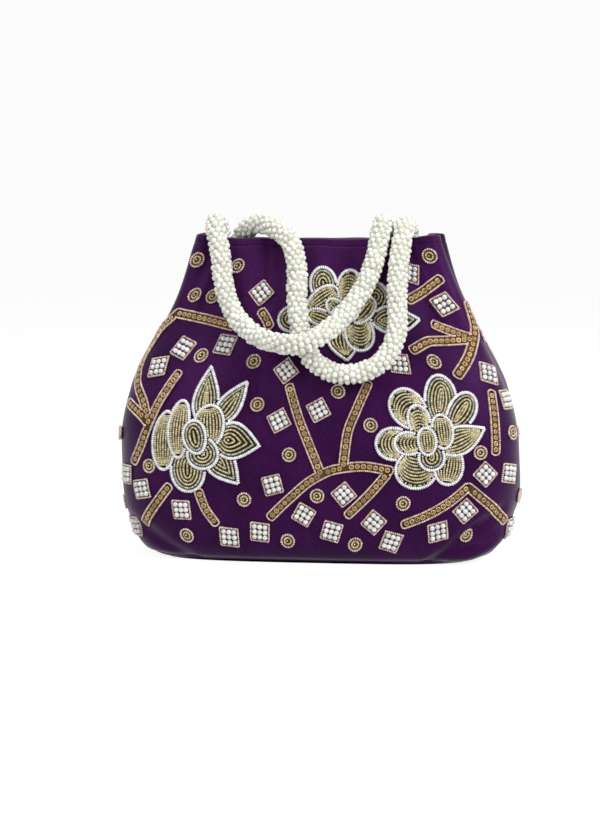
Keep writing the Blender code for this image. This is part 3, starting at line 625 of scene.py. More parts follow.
def bead_material(name, dark, light, roughness, metallic, coat, speckle, ior=1.5):
    """A bead whose colour and gloss differ from one bead to the next, with fine specks on it."""
    material = emptied(bpy.data.materials.new(name))
    tone = add(material, "ShaderNodeAttribute", attribute_name="tone").outputs["Fac"]
    place = add(material, "ShaderNodeTexCoord").outputs["Object"]
    specks = add(material, "ShaderNodeTexNoise", {"Vector": place, "Scale": SPECK_SCALE,
                                                  "Detail": 2.0})
    spread = add(material, "ShaderNodeMath", {0: specks, 1: speckle}, operation="MULTIPLY")
    mixed = add(material, "ShaderNodeMath", {0: tone, 1: spread}, operation="ADD")
    shade = add(material, "ShaderNodeMapRange", {"Value": mixed, "From Min": speckle * 0.3,
                                                 "From Max": 1 + speckle * 0.7})
    colour = add(material, "ShaderNodeMix", {0: shade, 6: dark, 7: light}, data_type="RGBA")
    gloss = add(material, "ShaderNodeMapRange", {"Value": tone, "To Min": roughness * 0.75,
                                                 "To Max": roughness * 1.25})
    bump = add(material, "ShaderNodeBump", {"Height": specks, "Strength": 0.15, "Distance": 0.0001})
    shader = add(material, "ShaderNodeBsdfPrincipled", {
        "Base Color": colour.outputs[2], "Roughness": gloss, "Normal": bump,
        "Metallic": metallic, "IOR": ior, "Coat Weight": coat, "Coat Roughness": 0.12})
    add(material, "ShaderNodeOutputMaterial", {"Surface": shader})
    return material


rope_pearl = bead_material("lacquered_abs_pearl", "#D6D7CA", "#F1F1EA", 0.22, 0.0, 0.8, 0.5, 1.53)
square_pearl = bead_material("lacquered_abs_pearl_small", "#C9CAC6", "#EFEEEC", 0.26, 0.0, 0.6, 0.4, 1.53)
white_seed = bead_material("opaque_white_glass_seed", "#E2DFE4", "#FAF9FA", 0.28, 0.0, 0.5, 0.4, 1.52)
silver_seed = bead_material("silver_lined_glass_seed", "#9A9684", "#CFCCBC", 0.28, 0.30, 0.4, 0.5, 1.52)
gold_seed = bead_material("gold_lined_glass_seed", "#A3956C", "#E2D6B0", 0.30, 0.20, 0.4, 0.5, 1.52)
copper_seed = bead_material("copper_lined_glass_seed", "#B8988A", "#EAD4C8", 0.32, 0.15, 0.4, 0.5, 1.52)
aged_gold = bead_material("stamped_sequin_aged_gold", "#8A7050", "#C6AA80", 0.36, 1.0, 0.0, 0.6)


# %% Board and core materials
# Pressed pulp board is dull, with fibres about 1.4 mm long that mottle it. A twisted cotton cord is matt,
# with diagonal strands. Diagonal bands lie a little wider apart than straight ones, here at 1.8 mm.
FIBRE_SCALE = 700.0
STRAND_SCALE = band_scale(0.0016)


def grained_material(name, kind, pattern, dark, light, bump_strength, relief, values, **settings):
    """A plain finish whose colour and relief follow one fine pattern that runs through it."""
    material = emptied(bpy.data.materials.new(name))
    place = add(material, "ShaderNodeTexCoord").outputs["Object"]
    grain = add(material, kind, {"Vector": place, **pattern}, **settings).outputs["Fac"]
    colour = add(material, "ShaderNodeMix", {0: grain, 6: dark, 7: light}, data_type="RGBA")
    bump = add(material, "ShaderNodeBump", {"Height": grain, "Strength": bump_strength, "Distance": relief})
    shader = add(material, "ShaderNodeBsdfPrincipled", {
        "Base Color": colour.outputs[2], "Normal": bump, **values})
    add(material, "ShaderNodeOutputMaterial", {"Surface": shader})
    return material


grey_board = grained_material(
    "pressed_grey_pulp_board", "ShaderNodeTexNoise", {"Scale": FIBRE_SCALE, "Detail": 4.0},
    "#7C7873", "#A39E97", 0.3, 0.0002, {"Roughness": 0.85, "IOR": 1.45})
cotton_core = grained_material(
    "twisted_cotton_core", "ShaderNodeTexWave", {"Scale": STRAND_SCALE, "Distortion": 3.0},
    "#B5B29A", "#DCDAC8", 0.5, 0.0004, {"Roughness": 0.75, "IOR": 1.5}, bands_direction="DIAGONAL")
print("materials:", len(bpy.data.materials))

# %% [markdown]
# ## The satin body
# Each panel is cut flat, stiffened, seamed at the sides and turned in at the mouth, where one row of
# stitches holds the hem. It is made here as one closed sheet with its thickness: a fine grid round the
# outside, rolled over the rim and back down inside. The rows crowd at the rim and at the lower edge,
# where the cloth bends most.

# %% Body cloth
BODY_COLUMNS = 336
RIM_RADIUS = WALL / 2
RIM_START = BODY_HEIGHT - RIM_RADIUS
LOWER_EDGE = 0.0009

body_turns = np.linspace(0, 4, BODY_COLUMNS, endpoint=False)
outer_rows = np.concatenate([np.linspace(LOWER_EDGE, 0.008, 10), np.linspace(0.0095, 0.176, 100),
                             np.linspace(0.177, RIM_START, 24)])
inner_rows = np.concatenate([np.linspace(RIM_START, 0.160, 8), np.linspace(0.150, LOWER_EDGE, 9)])
body_rings = [(height, 0.0) for height in outer_rows]
body_rings += [(BODY_HEIGHT - RIM_RADIUS * (1 - math.sin(a)), -RIM_RADIUS * (1 - math.cos(a)))
               for a in np.radians([25, 50, 75, 105, 130, 155])]
body_rings += [(height, -WALL) for height in inner_rows]
body_points = np.concatenate([on_bag(body_turns, height, lift)[0] for height, lift in body_rings])
body_faces = grid_faces(len(body_rings), BODY_COLUMNS, round_rows=True)
body_cloth = join_parts("body_cloth", [(body_points, body_faces, 0, 0.5)], [satin], ["outer_shell"])

corners = np.empty(len(body_cloth.data.loops), dtype=np.int32)
body_cloth.data.loops.foreach_get("vertex_index", corners)
flat_places = np.stack([np.tile(body_turns, len(body_rings)),
                        np.repeat([height for height, _ in body_rings], BODY_COLUMNS)], axis=1)
flat_corners = flat_places[corners].reshape(-1, 4, 2)
flat_turns = flat_corners[:, :, 0]
over_seam = np.ptp(flat_turns, axis=1) > 2
flat_turns += np.where(over_seam[:, None] & (flat_turns < 1), 4, 0)
flat_turns *= CLOTH_QUARTER
uv_layer = body_cloth.data.uv_layers.new(name="UVMap")
uv_layer.data.foreach_set("uv", flat_corners.astype(np.float32).ravel())
print("body cloth:", len(body_cloth.data.polygons), "faces")

# %% [markdown]
# ## Hem stitches, facing and lining
# The hem is held by a row of small machine stitches in purple thread. Inside, a mauve cotton facing
# covers the wall from the rim down, and the lining hangs from it to the base, lying against the satin.

# %% Hem stitches
STITCH_PITCH = 0.0032
STITCH_SIZE = (0.0024, 0.00055, 0.00055)

hem_turns = np.linspace(0, 4, 2000)
hem_lengths = run(on_bag(hem_turns, BODY_HEIGHT - HEM_DEPTH)[0])
stitch_count = round(hem_lengths[-1] / STITCH_PITCH)
stitch_turns = np.interp(np.arange(stitch_count) * hem_lengths[-1] / stitch_count, hem_lengths, hem_turns)
spots, across, _, out = on_bag(stitch_turns, BODY_HEIGHT - HEM_DEPTH, 0.0001)
stitches = bead_part(STITCH, spots, across, out, STITCH_SIZE, 0)
hem_stitches = join_parts("hem_stitches", [stitches], [satin_trim])
print("hem stitches:", stitch_count, "round", round(1000 * hem_lengths[-1]), "mm")

# %% Facing and lining
SHEET_COLUMNS = 168
FLOOR_SHARES = [0.05, 0.35, 0.65, 0.9]


def wall_sheet(name, heights, inset, thickness, replaced=(), floor=False):
    """A thin cotton sheet inside the bag's wall, closed by its own thickness, with or without a floor."""
    turns = np.linspace(0, 4, SHEET_COLUMNS, endpoint=False)
    outside = [on_bag(turns, height, -inset)[0] for height in heights]
    inside_rings = [on_bag(turns, height, -inset - thickness)[0] for height in heights[::-1]]
    if floor:
        inside_rings[-1] = inside_rings[-1] + [0, 0, thickness]
        outside = [outside[0] * [share, share, 1] for share in FLOOR_SHARES] + outside
        inside_rings += [inside_rings[-1] * [share, share, 1] for share in FLOOR_SHARES[::-1]]
    rings = outside + inside_rings
    faces = grid_faces(len(rings), SHEET_COLUMNS, round_rows=True)
    return join_parts(name, [(np.concatenate(rings), faces, 0, 0.5)], [lining_cotton], replaced)


facing = wall_sheet("mouth_facing", np.linspace(0.1684, 0.1869, 10), WALL + 0.00005, 0.0004)
lining = wall_sheet("lining_cloth", np.concatenate([[0.0054], np.linspace(0.010, 0.1678, 40)]),
                    WALL + 0.0006, 0.0005, ["lining"], floor=True)
print("facing and lining:", len(facing.data.polygons), "and", len(lining.data.polygons), "faces")

# %% [markdown]
# ## The base
# An oval of satin over a stiff board closes the bottom. The body cloth comes down over its edge, so only
# a thin rim of it shows on the floor. The board itself is plain grey pulp board, hidden under the lining,
# so its CAD node only gets its material.

# %% Base cloth and board
BASE_INSET = WALL + 0.0003
# The edge of the base: heights, and how far it lies inside the wall at each.
BASE_EDGE = [(0.0, 0.0014), (0.0003, 0.0005), (0.0009, 0.0), (0.0017, 0.0), (0.0023, 0.0003),
             (0.0025, 0.0009)]

base_turns = np.linspace(0, 4, SHEET_COLUMNS, endpoint=False)
low_edge, high_edge = (bare_point(base_turns, np.full(SHEET_COLUMNS, z)) for z in (0, BASE_THICKNESS))
base_rings = [low_edge * [share, share, 0] for share in (0.04, 0.3, 0.6, 0.85, 0.96)]
base_rings += [on_bag(base_turns, height, -inset - BASE_INSET)[0] * [1, 1, 0] + [0, 0, height]
               for height, inset in BASE_EDGE]
base_rings += [high_edge * [share, share, 1] for share in (0.9, 0.5, 0.04)]
base_parts = [(np.concatenate(base_rings), grid_faces(len(base_rings), SHEET_COLUMNS), 0, 0.5),
              cap_part(base_rings[0], inwards=True), cap_part(base_rings[-1])]
base_cloth = join_parts("base_cloth", base_parts, [satin_trim], ["base_panel"])

for board_slot in frame["nodes"]["base_board"].material_slots:
    board_slot.material = grey_board
print("base cloth:", len(base_cloth.data.polygons), "faces")

# %% [markdown]
# ## The embroidery's squares and rosettes
# Nine small pearls fill each square, inside a border of copper beads on a stiffened patch. A rosette is
# a ring of copper beads round a gold centre. Both are scattered over the panels, and the back repeats
# the front half a turn round.

# %% Squares
SQUARE_SIDE = 0.0117
SQUARE_LIFT = 0.0008
BORDER_PITCH = 0.00115
BORDER_BEAD = 0.0013
PEARL_STEPS = np.array([-0.0030, 0, 0.0030])
PEARL_SIZE = (0.0031, 0.0031, 0.0028)
SIDES = {"front": 0, "back": 2}


def sew(name, parts, materials, replaced=()):
    """Makes a piece of embroidery that rides on the bag."""
    join_parts(name, parts, materials, replaced)


# Each square: its turn, its share of the height and its angle.
SQUARES = (
    (-0.317, 0.832, 45), (-0.438, 0.674, -8), (-0.650, 0.661, -20), (-0.736, 0.600, 12),
    (-0.117, 0.597, 40), (-0.130, 0.447, 30), (0.033, 0.480, 28), (-0.150, 0.251, 15),
    (-0.212, 0.103, -6), (-0.025, 0.161, -30), (0.090, 0.110, -15), (0.137, 0.225, 40),
    (0.262, 0.140, -38), (0.342, 0.080, -15), (0.529, 0.112, 15), (0.630, 0.174, 45),
    (0.706, 0.285, 45), (0.822, 0.282, -10), (0.808, 0.586, -20), (0.868, 0.505, 0),
    (0.408, 0.622, -5), (0.590, 0.895, -15), (-0.536, 0.165, 0), (-0.346, 0.085, -5),
    (-0.712, 0.222, 10), (-0.808, 0.262, 0), (-0.835, 0.093, 0), (0.900, 0.108, 0),
    (0.735, 0.797, 20),
)


def turned(points, angle):
    """Pattern points turned by an angle in degrees."""
    c, s = math.cos(math.radians(angle)), math.sin(math.radians(angle))
    return points @ np.array([[c, s], [-s, c]])


def square_line(half, angle):
    """The outline of a turned square, with a few points to a side."""
    side, ones = np.linspace(-1, 1, 9)[:-1], np.ones(8)
    corners = np.concatenate([np.stack(pair, axis=1) for pair in
                              ((side, -ones), (ones, side), (-side, ones), (-ones, -side))])
    return half * turned(corners, angle)


for side, side_turn in SIDES.items():
    parts = []
    for turn, share, angle in SQUARES:
        origin = origin_at(turn + side_turn, share)
        parts.append(pad_part(origin, square_line(SQUARE_SIDE / 2 - 0.0002, angle), SQUARE_LIFT, 2))
        border = square_line((SQUARE_SIDE - BORDER_BEAD) / 2, angle)
        string(parts, origin, border, BORDER_PITCH, (0.0012, BORDER_BEAD, 0.0014), SQUARE_LIFT, 1,
               closed=True)
        places = np.stack(np.meshgrid(PEARL_STEPS, PEARL_STEPS), axis=-1).reshape(-1, 2)
        places = turned(places + chance.normal(0, 0.00008, places.shape), angle)
        spots, across, up, out = on_bag(*unfold(origin, places), 0.0011)
        along = across * math.cos(math.radians(angle)) + up * math.sin(math.radians(angle))
        parts.append(bead_part(PEARL, spots, along, out, PEARL_SIZE, 0))
    sew(side + "_squares", parts, [square_pearl, copper_seed, mauve_felt])

# %% Rosettes
ROSETTE_RADIUS = 0.0044
ROSETTE_LIFT = 0.0006
# Each rosette: its turn and its share of the height.
ROSETTES = (
    (-0.508, 0.913), (-0.717, 0.822), (-0.604, 0.820), (-0.542, 0.640), (-0.275, 0.624),
    (-0.228, 0.495), (0.117, 0.537), (0.246, 0.437), (-0.083, 0.345), (-0.267, 0.204),
    (0.030, 0.220), (0.375, 0.201), (-0.533, 0.085), (-0.096, 0.077), (0.192, 0.070),
    (0.667, 0.092), (0.930, 0.205), (0.686, 0.352), (0.850, 0.405), (0.920, 0.700),
    (0.570, 0.627), (0.740, 0.940), (-0.672, 0.296), (-0.890, 0.385), (-0.900, 0.165),
    (-0.780, 0.925),
)
# The rings of beads in a rosette: radius, pitch, bead size, lift, 1 for copper or 0 for gold, and whether
# the ring is closed.
ROSETTE_RINGS = (
    (ROSETTE_RADIUS - 0.0007, 0.00130, (0.0014, 0.0014, 0.0016), 0.0009, 1, True),
    (0.0019, 0.0011, (0.0012, 0.0013, 0.0013), 0.0009, 0, True),
    (0.00035, 0.0022, (0.0012, 0.0012, 0.0012), 0.0010, 0, False),
)

for side, side_turn in SIDES.items():
    parts = []
    for turn, share in ROSETTES:
        origin = origin_at(turn + side_turn, share)
        parts.append(pad_part(origin, circle(24, ROSETTE_RADIUS - 0.0004), ROSETTE_LIFT, 2))
        for radius, pitch, size, lift, number, closed in ROSETTE_RINGS:
            string(parts, origin, circle(24, radius), pitch, size, lift, number, closed=closed)
    sew(side + "_rosettes", parts, [gold_seed, copper_seed, brown_felt])

# %% [markdown]
# ## Stems
# Each stem is a brown felt band edged by two strings of copper beads, with a row of ring sequins down its
# middle, every one held by a small gold bead. Where two stems meet, the edging of each is left out
# inside the other, so that they join like branches.

# %% Stems
STEM_WIDTH = 0.0062
STEM_LIFT = 0.0007
EDGING_PITCH = 0.00112
EDGING_BEAD = (0.00125, 0.0013, 0.0015)
SEQUIN_PITCH = 0.0034
SEQUIN_SIZE = (0.0030, 0.0030, 0.0009)
HOLDING_BEAD = (0.0009, 0.0009, 0.0008)

# The strokes of each stem, as turns and shares of the height.
BRANCHES = {
    "left_branch": (
        ((-0.775, 0.765), (-0.600, 0.751), (-0.429, 0.730)),
        ((-0.775, 0.765), (-0.838, 0.700), (-0.860, 0.627), (-0.822, 0.550), (-0.746, 0.489),
         (-0.688, 0.425)),
        ((-0.618, 0.585), (-0.640, 0.545), (-0.671, 0.484), (-0.688, 0.425)),
        ((-0.838, 0.484), (-0.742, 0.452), (-0.688, 0.425)),
        ((-0.688, 0.425), (-0.715, 0.360), (-0.750, 0.305)),
    ),
    "left_lower_stem": (((-0.582, 0.236), (-0.642, 0.184), (-0.735, 0.112)),),
    "left_foot_stem": (((-0.454, 0.225), (-0.433, 0.175), (-0.395, 0.128)),),
    "neck_stem": (((-0.294, 0.775), (-0.262, 0.755), (-0.232, 0.730)),),
    "centre_branch": (
        ((-0.096, 0.550), (-0.050, 0.458), (-0.004, 0.376), (0.045, 0.285)),
        ((0.250, 0.563), (0.196, 0.489), (0.150, 0.407), (0.133, 0.309)),
        ((0.322, 0.300), (0.212, 0.312), (0.104, 0.302), (0.012, 0.270), (-0.079, 0.212),
         (-0.163, 0.151)),
        ((0.306, 0.287), (0.240, 0.228), (0.155, 0.162)),
    ),
    "right_lower_branch": (
        ((0.634, 0.248), (0.558, 0.201), (0.471, 0.162), (0.385, 0.135)),
        ((0.634, 0.248), (0.692, 0.212), (0.829, 0.135)),
    ),
    "right_side_stem": (((0.786, 0.530), (0.772, 0.475), (0.757, 0.405), (0.752, 0.350)),),
    "right_branch": (
        ((0.858, 0.791), (0.842, 0.728), (0.775, 0.661), (0.655, 0.585)),
        ((0.487, 0.662), (0.600, 0.689), (0.800, 0.690)),
        ((0.642, 0.740), (0.800, 0.690)),
    ),
    "right_neck_stem": (((0.546, 0.812), (0.663, 0.844), (0.760, 0.872)),),
}


def smooth_line(points, step):
    """A smooth curve through pattern points, as points about a step apart."""
    knots = run(points)
    places = np.linspace(0, knots[-1], max(3, round(knots[-1] / step)))
    return np.stack([smooth_value(places, knots, column) for column in points.T], axis=1)


def directions(line):
    """The directions ahead and to the left along a line."""
    ahead = np.gradient(line, axis=0)
    ahead /= np.linalg.norm(ahead, axis=1)[:, None]
    return ahead, np.stack([-ahead[:, 1], ahead[:, 0]], axis=1)


def stroke_outline(line, half):
    """The outline round a stroke, with round ends."""
    ahead, left = directions(line)
    swing = np.linspace(0, math.pi, 9)[1:-1, None]
    far = line[-1] + half * (np.cos(swing) * left[-1] + 0.6 * np.sin(swing) * ahead[-1])
    near = line[0] + half * (-np.cos(swing) * left[0] - 0.6 * np.sin(swing) * ahead[0])
    return np.concatenate([line + half * left, far, (line - half * left)[::-1], near])


def band_part(origin, line, half, lift, number):
    """The felt band under a stem."""
    left = directions(line)[1]
    rows = [on_bag(*unfold(origin, line + left * half * share), rise)[0] for share, rise in
            ((0.97, 0.0001), (0.9, lift), (0, lift * 1.2), (-0.9, lift), (-0.97, 0.0001))]
    return np.concatenate(rows), grid_faces(5, len(line), False)[:, ::-1], number, 0.5


def clear_of(lines, distance):
    """A test that keeps the points farther than a distance from each of the lines."""
    def keep(points):
        gaps = [np.linalg.norm(points[:, None] - line, axis=2).min(axis=1) for line in lines]
        return np.min([np.ones(len(points))] + gaps, axis=0) > distance
    return keep


# A flat ring of stamped metal, as points and triangles with a radius of one.
SEQUIN = (
    np.concatenate([np.hstack([circle(10, radius), np.full((10, 1), rise)])
                    for radius, rise in ((1.0, -0.2), (0.86, 0.45), (0.62, 0.45), (0.5, -0.2))]),
    halved(grid_faces(4, 10)),
)

for side, side_turn in SIDES.items():
    for name, strokes in BRANCHES.items():
        middle = np.mean([share for stroke in strokes for _, share in stroke])
        origin = (side_turn, 0.0, quarter_length(middle * BODY_HEIGHT))
        lines = [smooth_line(np.array(stroke) * [origin[2], BODY_HEIGHT], 0.0007) for stroke in strokes]
        parts = []
        for number, line in enumerate(lines):
            parts.append(band_part(origin, line, STEM_WIDTH / 2, STEM_LIFT, 2))
            edge = stroke_outline(line, STEM_WIDTH / 2 - 0.00065)
            off_others = clear_of(lines[:number] + lines[number + 1:], STEM_WIDTH / 2 - 0.0012)
            string(parts, origin, edge, EDGING_PITCH, EDGING_BEAD, 0.0009, 1, off_others, True)
            off_earlier = clear_of(lines[:number], 0.0019)
            string(parts, origin, line, SEQUIN_PITCH, SEQUIN_SIZE, 0.0011, 3, off_earlier, shape=SEQUIN)
            string(parts, origin, line, SEQUIN_PITCH, HOLDING_BEAD, 0.0012, 3, off_earlier)
        sew(f"{side}_{name}_beads", parts, [gold_seed, copper_seed, brown_felt, aged_gold],
            [f"{side}_{name}"])

# %% [markdown]
# ## Flowers
# Each petal is worked by itself: a thick string of white beads round its edge, then strings of gold beads
# that follow the edge inwards, or run along or across the petal, with dark gaps between them, where a dark
# felt under the beads paints the shade. The later petals lie over the earlier ones, so the strings below
# stop where a higher petal starts.

# %% Petals
FLOWER_SCALE = 0.030
EDGE_BEAD = 0.0024
EDGE_PITCH = 0.00125
EDGE_SIZE = (0.00145, EDGE_BEAD, 0.0021)
LINE_PITCH = 0.0019
GOLD_PITCH = 0.00110
GOLD_SIZE = (0.00125, 0.0014, 0.0013)
PETAL_LIFT = 0.0008
PETAL_LAYER = 0.00035
ROOT_OVERLAP = 0.0032

# Each flower: its turn and share of the height, and its petals: the form, the root, the tip and the width
# in units of the flower's scale, the layer it lies in, and how its bead strings run.
FLOWERS = {
    "left_flower": ((-0.442, 0.389), (
        ("leaf", (0.00, 0.30), (-0.14, 1.40), 0.50, 0, "rings"),
        ("leaf", (0.25, 0.30), (0.77, 1.12), 0.44, 0, "rings"),
        ("leaf", (0.25, 0.02), (1.17, -0.12), 0.66, 1, "rings"),
        ("leaf", (0.15, -0.20), (0.75, -0.88), 0.52, 0, "rings"),
        ("round", (-0.27, -0.20), (-0.27, -1.05), 0.70, 0, "rings"),
        ("round", (-0.80, 0.42), (-0.77, -0.65), 0.50, 0, "rows"),
        ("round", (-0.46, -0.32), (-0.53, 0.72), 0.44, 1, "rows"),
        ("round", (0.18, -0.08), (0.04, 0.64), 0.60, 2, "rows"),
        ("round", (-0.06, -0.22), (-0.24, 0.34), 0.46, 3, "rings"),
        ("round", (0.02, -0.05), (0.04, -0.60), 0.62, 2, "rings"),
    )),
    "right_flower": ((0.487, 0.407), (
        ("round", (0.17, 0.25), (0.45, 1.13), 0.64, 0, "rings"),
        ("round", (-0.16, 0.22), (-0.62, 0.82), 0.70, 0, "arcs"),
        ("round", (-0.20, 0.05), (-0.20, 0.58), 0.44, 1, "arcs"),
        ("round", (-0.38, -0.16), (-1.07, -0.16), 0.62, 0, "arcs"),
        ("round", (-0.22, -0.15), (-0.72, -0.15), 0.44, 1, "arcs"),
        ("round", (0.40, 0.16), (0.98, 0.76), 0.50, 1, "rings"),
        ("leaf", (0.17, -0.25), (1.09, 0.13), 0.50, 2, "rows"),
        ("round", (0.37, -0.30), (0.26, -0.95), 0.56, 1, "rows"),
        ("round", (-0.28, -0.34), (-0.33, -1.02), 0.78, 0, "arcs"),
        ("round", (0.22, -0.18), (0.22, 0.40), 0.42, 3, "rows"),
        ("round", (-0.08, -0.30), (-0.10, 0.16), 0.36, 3, "rows"),
        ("round", (-0.02, -0.20), (0.00, -0.68), 0.50, 2, "rings"),
    )),
    "top_flower": ((0.171, 0.762), (
        ("round", (-0.38, 0.35), (-0.47, 0.93), 0.58, 0, "rings"),
        ("round", (0.06, 0.20), (0.22, 0.90), 0.54, 1, "arcs"),
        ("round", (0.42, 0.22), (0.90, 0.54), 0.56, 0, "rings"),
        ("leaf", (0.55, -0.08), (1.45, -0.05), 0.50, 0, "rings"),
        ("round", (0.26, 0.00), (0.22, -0.66), 0.54, 1, "arcs"),
        ("leaf", (-0.07, -0.25), (-0.02, -0.86), 0.52, 0, "rows"),
        ("round", (-0.72, -0.10), (-1.28, -0.02), 0.50, 0, "rings"),
        ("round", (-0.68, 0.14), (-0.10, 0.52), 0.44, 1, "rows"),
        ("round", (-0.24, -0.10), (-0.74, 0.06), 0.32, 2, "rows"),
        ("round", (0.10, -0.06), (-0.34, 0.30), 0.34, 3, "rows"),
        ("round", (0.22, -0.06), (0.62, 0.34), 0.34, 2, "rows"),
        ("round", (-0.18, 0.02), (0.28, 0.10), 0.36, 4, "rings"),
        ("round", (-0.30, -0.12), (-0.84, -0.44), 0.46, 1, "rows"),
    )),
}


def half_share(kind, s):
    """Half the width of a petal at a share of its length, for a width of one."""
    s = np.clip(s, 0, 1)
    if kind == "leaf":
        return 0.54 * np.sin(math.pi * s ** 0.80)
    return np.sqrt(s * (1 - s)) * (0.92 + 0.16 * s)


def petal_frame(petal, inset):
    """The start, direction, sideways direction, length and width of a petal, drawn in by inset."""
    kind, root, tip, width = petal[:4]
    root, tip = FLOWER_SCALE * np.array(root), FLOWER_SCALE * np.array(tip)
    length = np.linalg.norm(tip - root)
    ahead = (tip - root) / length
    ends = (inset - 0.0006) * (1.9 if kind == "leaf" else 1.0)
    near = inset - ROOT_OVERLAP
    width = FLOWER_SCALE * width - 2 * (inset - 0.0008)
    return root + ahead * near, ahead, np.array([-ahead[1], ahead[0]]), length - near - ends, width


def on_petal(frame, s, w):
    """Pattern points on a petal, from shares of its length and of its width."""
    start, ahead, side, length, width = frame
    return start + (length * s)[:, None] * ahead + (width * w)[:, None] * side


def petal_line(petal, inset):
    angle = np.linspace(0, 2 * math.pi, 44, endpoint=False)
    s = 0.5 - 0.5 * np.cos(angle)
    return on_petal(petal_frame(petal, inset), s, np.sign(np.sin(angle)) * half_share(petal[0], s))


def fill_lines(petal, first):
    """The bead strings inside a petal: rings round it, rows along it or arcs across it."""
    kind, style = petal[0], petal[5]
    frame = petal_frame(petal, first - 0.0006)
    length, width = frame[3:]
    lines = []
    if style == "rings":
        inset = first
        while FLOWER_SCALE * petal[3] - 2 * inset > 0.0006:
            lines.append((petal_line(petal, inset), True))
            inset += LINE_PITCH
        start, ahead, _, length, width = petal_frame(petal, inset)
        if width > -0.0022:
            lines.append((start + np.linspace(0, max(length, 0.001), 8)[:, None] * ahead, False))
    elif style == "rows":
        s = np.linspace(0.03, 0.97, 24)
        for f in np.linspace(-0.93, 0.93, max(2, round(width * 0.98 / LINE_PITCH) + 1)):
            lines.append((on_petal(frame, s, f * half_share(kind, s)), False))
    else:
        swing = np.linspace(-0.62, 0.62, 24) * math.pi
        s = 0.5 + 0.5 * np.cos(swing)
        count = max(2, round(length / LINE_PITCH))
        for share in 1 - np.arange(count) / count:
            w = np.sign(swing) * half_share(kind, s) * (0.45 + 0.55 * share)
            lines.append((on_petal(frame, share * s, w), False))
    return lines


def inside(points, outline):
    """Which pattern points lie inside a closed outline."""
    x, y = points[:, 0:1], points[:, 1:2]
    x1, y1 = outline[:, 0], outline[:, 1]
    x2, y2 = np.roll(x1, -1), np.roll(y1, -1)
    crosses = (y1 > y) != (y2 > y)
    rise = np.where(y2 == y1, 1e-12, y2 - y1)
    return (crosses & (x < x1 + (y - y1) * (x2 - x1) / rise)).sum(axis=1) % 2 == 1


def uncovered(covers, own=None):
    """A test that keeps the points that lie under no higher petal, and inside their own if it is given."""
    def keep(points):
        kept = np.ones(len(points), dtype=bool) if own is None else inside(points, own)
        for cover in covers:
            kept &= ~inside(points, cover)
        return kept
    return keep


for side, side_turn in SIDES.items():
    for name, ((turn, share), petals) in FLOWERS.items():
        origin = origin_at(turn + side_turn, share)
        ranked = sorted(petals, key=lambda petal: petal[4])
        petal_outlines = [petal_line(petal, 0) for petal in ranked]
        parts = []
        for rank, petal in enumerate(ranked, start=1):
            lift = PETAL_LIFT + petal[4] * PETAL_LAYER
            edge_seen = uncovered(petal_outlines[rank:])
            inside_seen = uncovered(petal_outlines[rank:], petal_line(petal, EDGE_BEAD + 0.0002))
            # The pad is the dark felt, whose colour paints the shade in the gaps between the petal's bead
            # strings.
            parts.append(pad_part(origin, petal_line(petal, 0.0006), lift, 3))
            string(parts, origin, petal_line(petal, EDGE_BEAD / 2), EDGE_PITCH, EDGE_SIZE, lift, 0,
                   edge_seen, True)
            for number, (line, closed) in enumerate(fill_lines(petal, EDGE_BEAD + 0.0008)):
                finish = 1 if number == 0 and petal[5] != "rows" else 2
                string(parts, origin, line, GOLD_PITCH, GOLD_SIZE, lift + 0.0003, finish,
                       edge_seen if closed else inside_seen, closed)
        sew(f"{side}_{name}_beads", parts, [white_seed, silver_seed, gold_seed, gap_shade_felt],
            [f"{side}_{name}"])

# %% [markdown]
# ## Pearl rope handles
# A cotton cord is the core of each handle, and small pearls are threaded and sewn round it all the way,
# so that it looks like a string of clusters. Both handles hang forward over the front of the mouth, and
# all four ends go down inside, where they are bound and sewn to the wall. The bends over the rim are
# tight, as in the photograph, because the cord is soft. The back rope's arch settles a few millimetres
# from the CAD's route, towards the rim.

# %% Rope routes
ROPE_DIAMETER = 0.0125
# Points on the middle lines: x and y in tenths of a millimetre, and ten-thousandths of the body's height.
FRONT_HANDLE_ROUTE = (
    (-550, -110, 8556), (-563, -86, 9037), (-573, -50, 9572), (-580, -26, 10000), (-589, -48, 10332),
    (-595, -110, 10481), (-590, -172, 10332), (-575, -208, 9989), (-546, -250, 9476), (-521, -310, 8636),
    (-469, -361, 7866), (-372, -411, 7262), (-231, -492, 6925), (-96, -560, 6845), (-24, -571, 6893),
    (58, -540, 7102), (149, -450, 7492), (236, -370, 8053), (311, -312, 8754), (354, -256, 9487),
    (370, -212, 9989), (380, -175, 10332), (384, -112, 10481), (386, -48, 10332), (388, -26, 10000),
    (388, -50, 9572), (388, -86, 9037), (388, -110, 8556),
)
BACK_HANDLE_ROUTE = (
    (-480, 110, 8556), (-478, 86, 9037), (-475, 50, 9572), (-464, 26, 10053), (-435, 6, 10428),
    (-385, -30, 10642), (-325, -80, 10695), (-258, -137, 10578), (-200, -188, 10310), (-155, -220, 9979),
    (-119, -249, 9594), (-94, -309, 8813), (-88, -366, 7957), (-70, -402, 7326), (-30, -439, 6690),
    (69, -471, 6123), (200, -480, 5930), (344, -468, 6096), (454, -431, 6642), (492, -385, 7406),
    (484, -338, 8251), (485, -283, 9080), (494, -240, 9668), (503, -202, 10123), (512, -145, 10455),
    (520, -75, 10545), (522, -10, 10401), (518, 26, 10053), (515, 50, 9572), (512, 86, 9037),
    (510, 110, 8556),
)


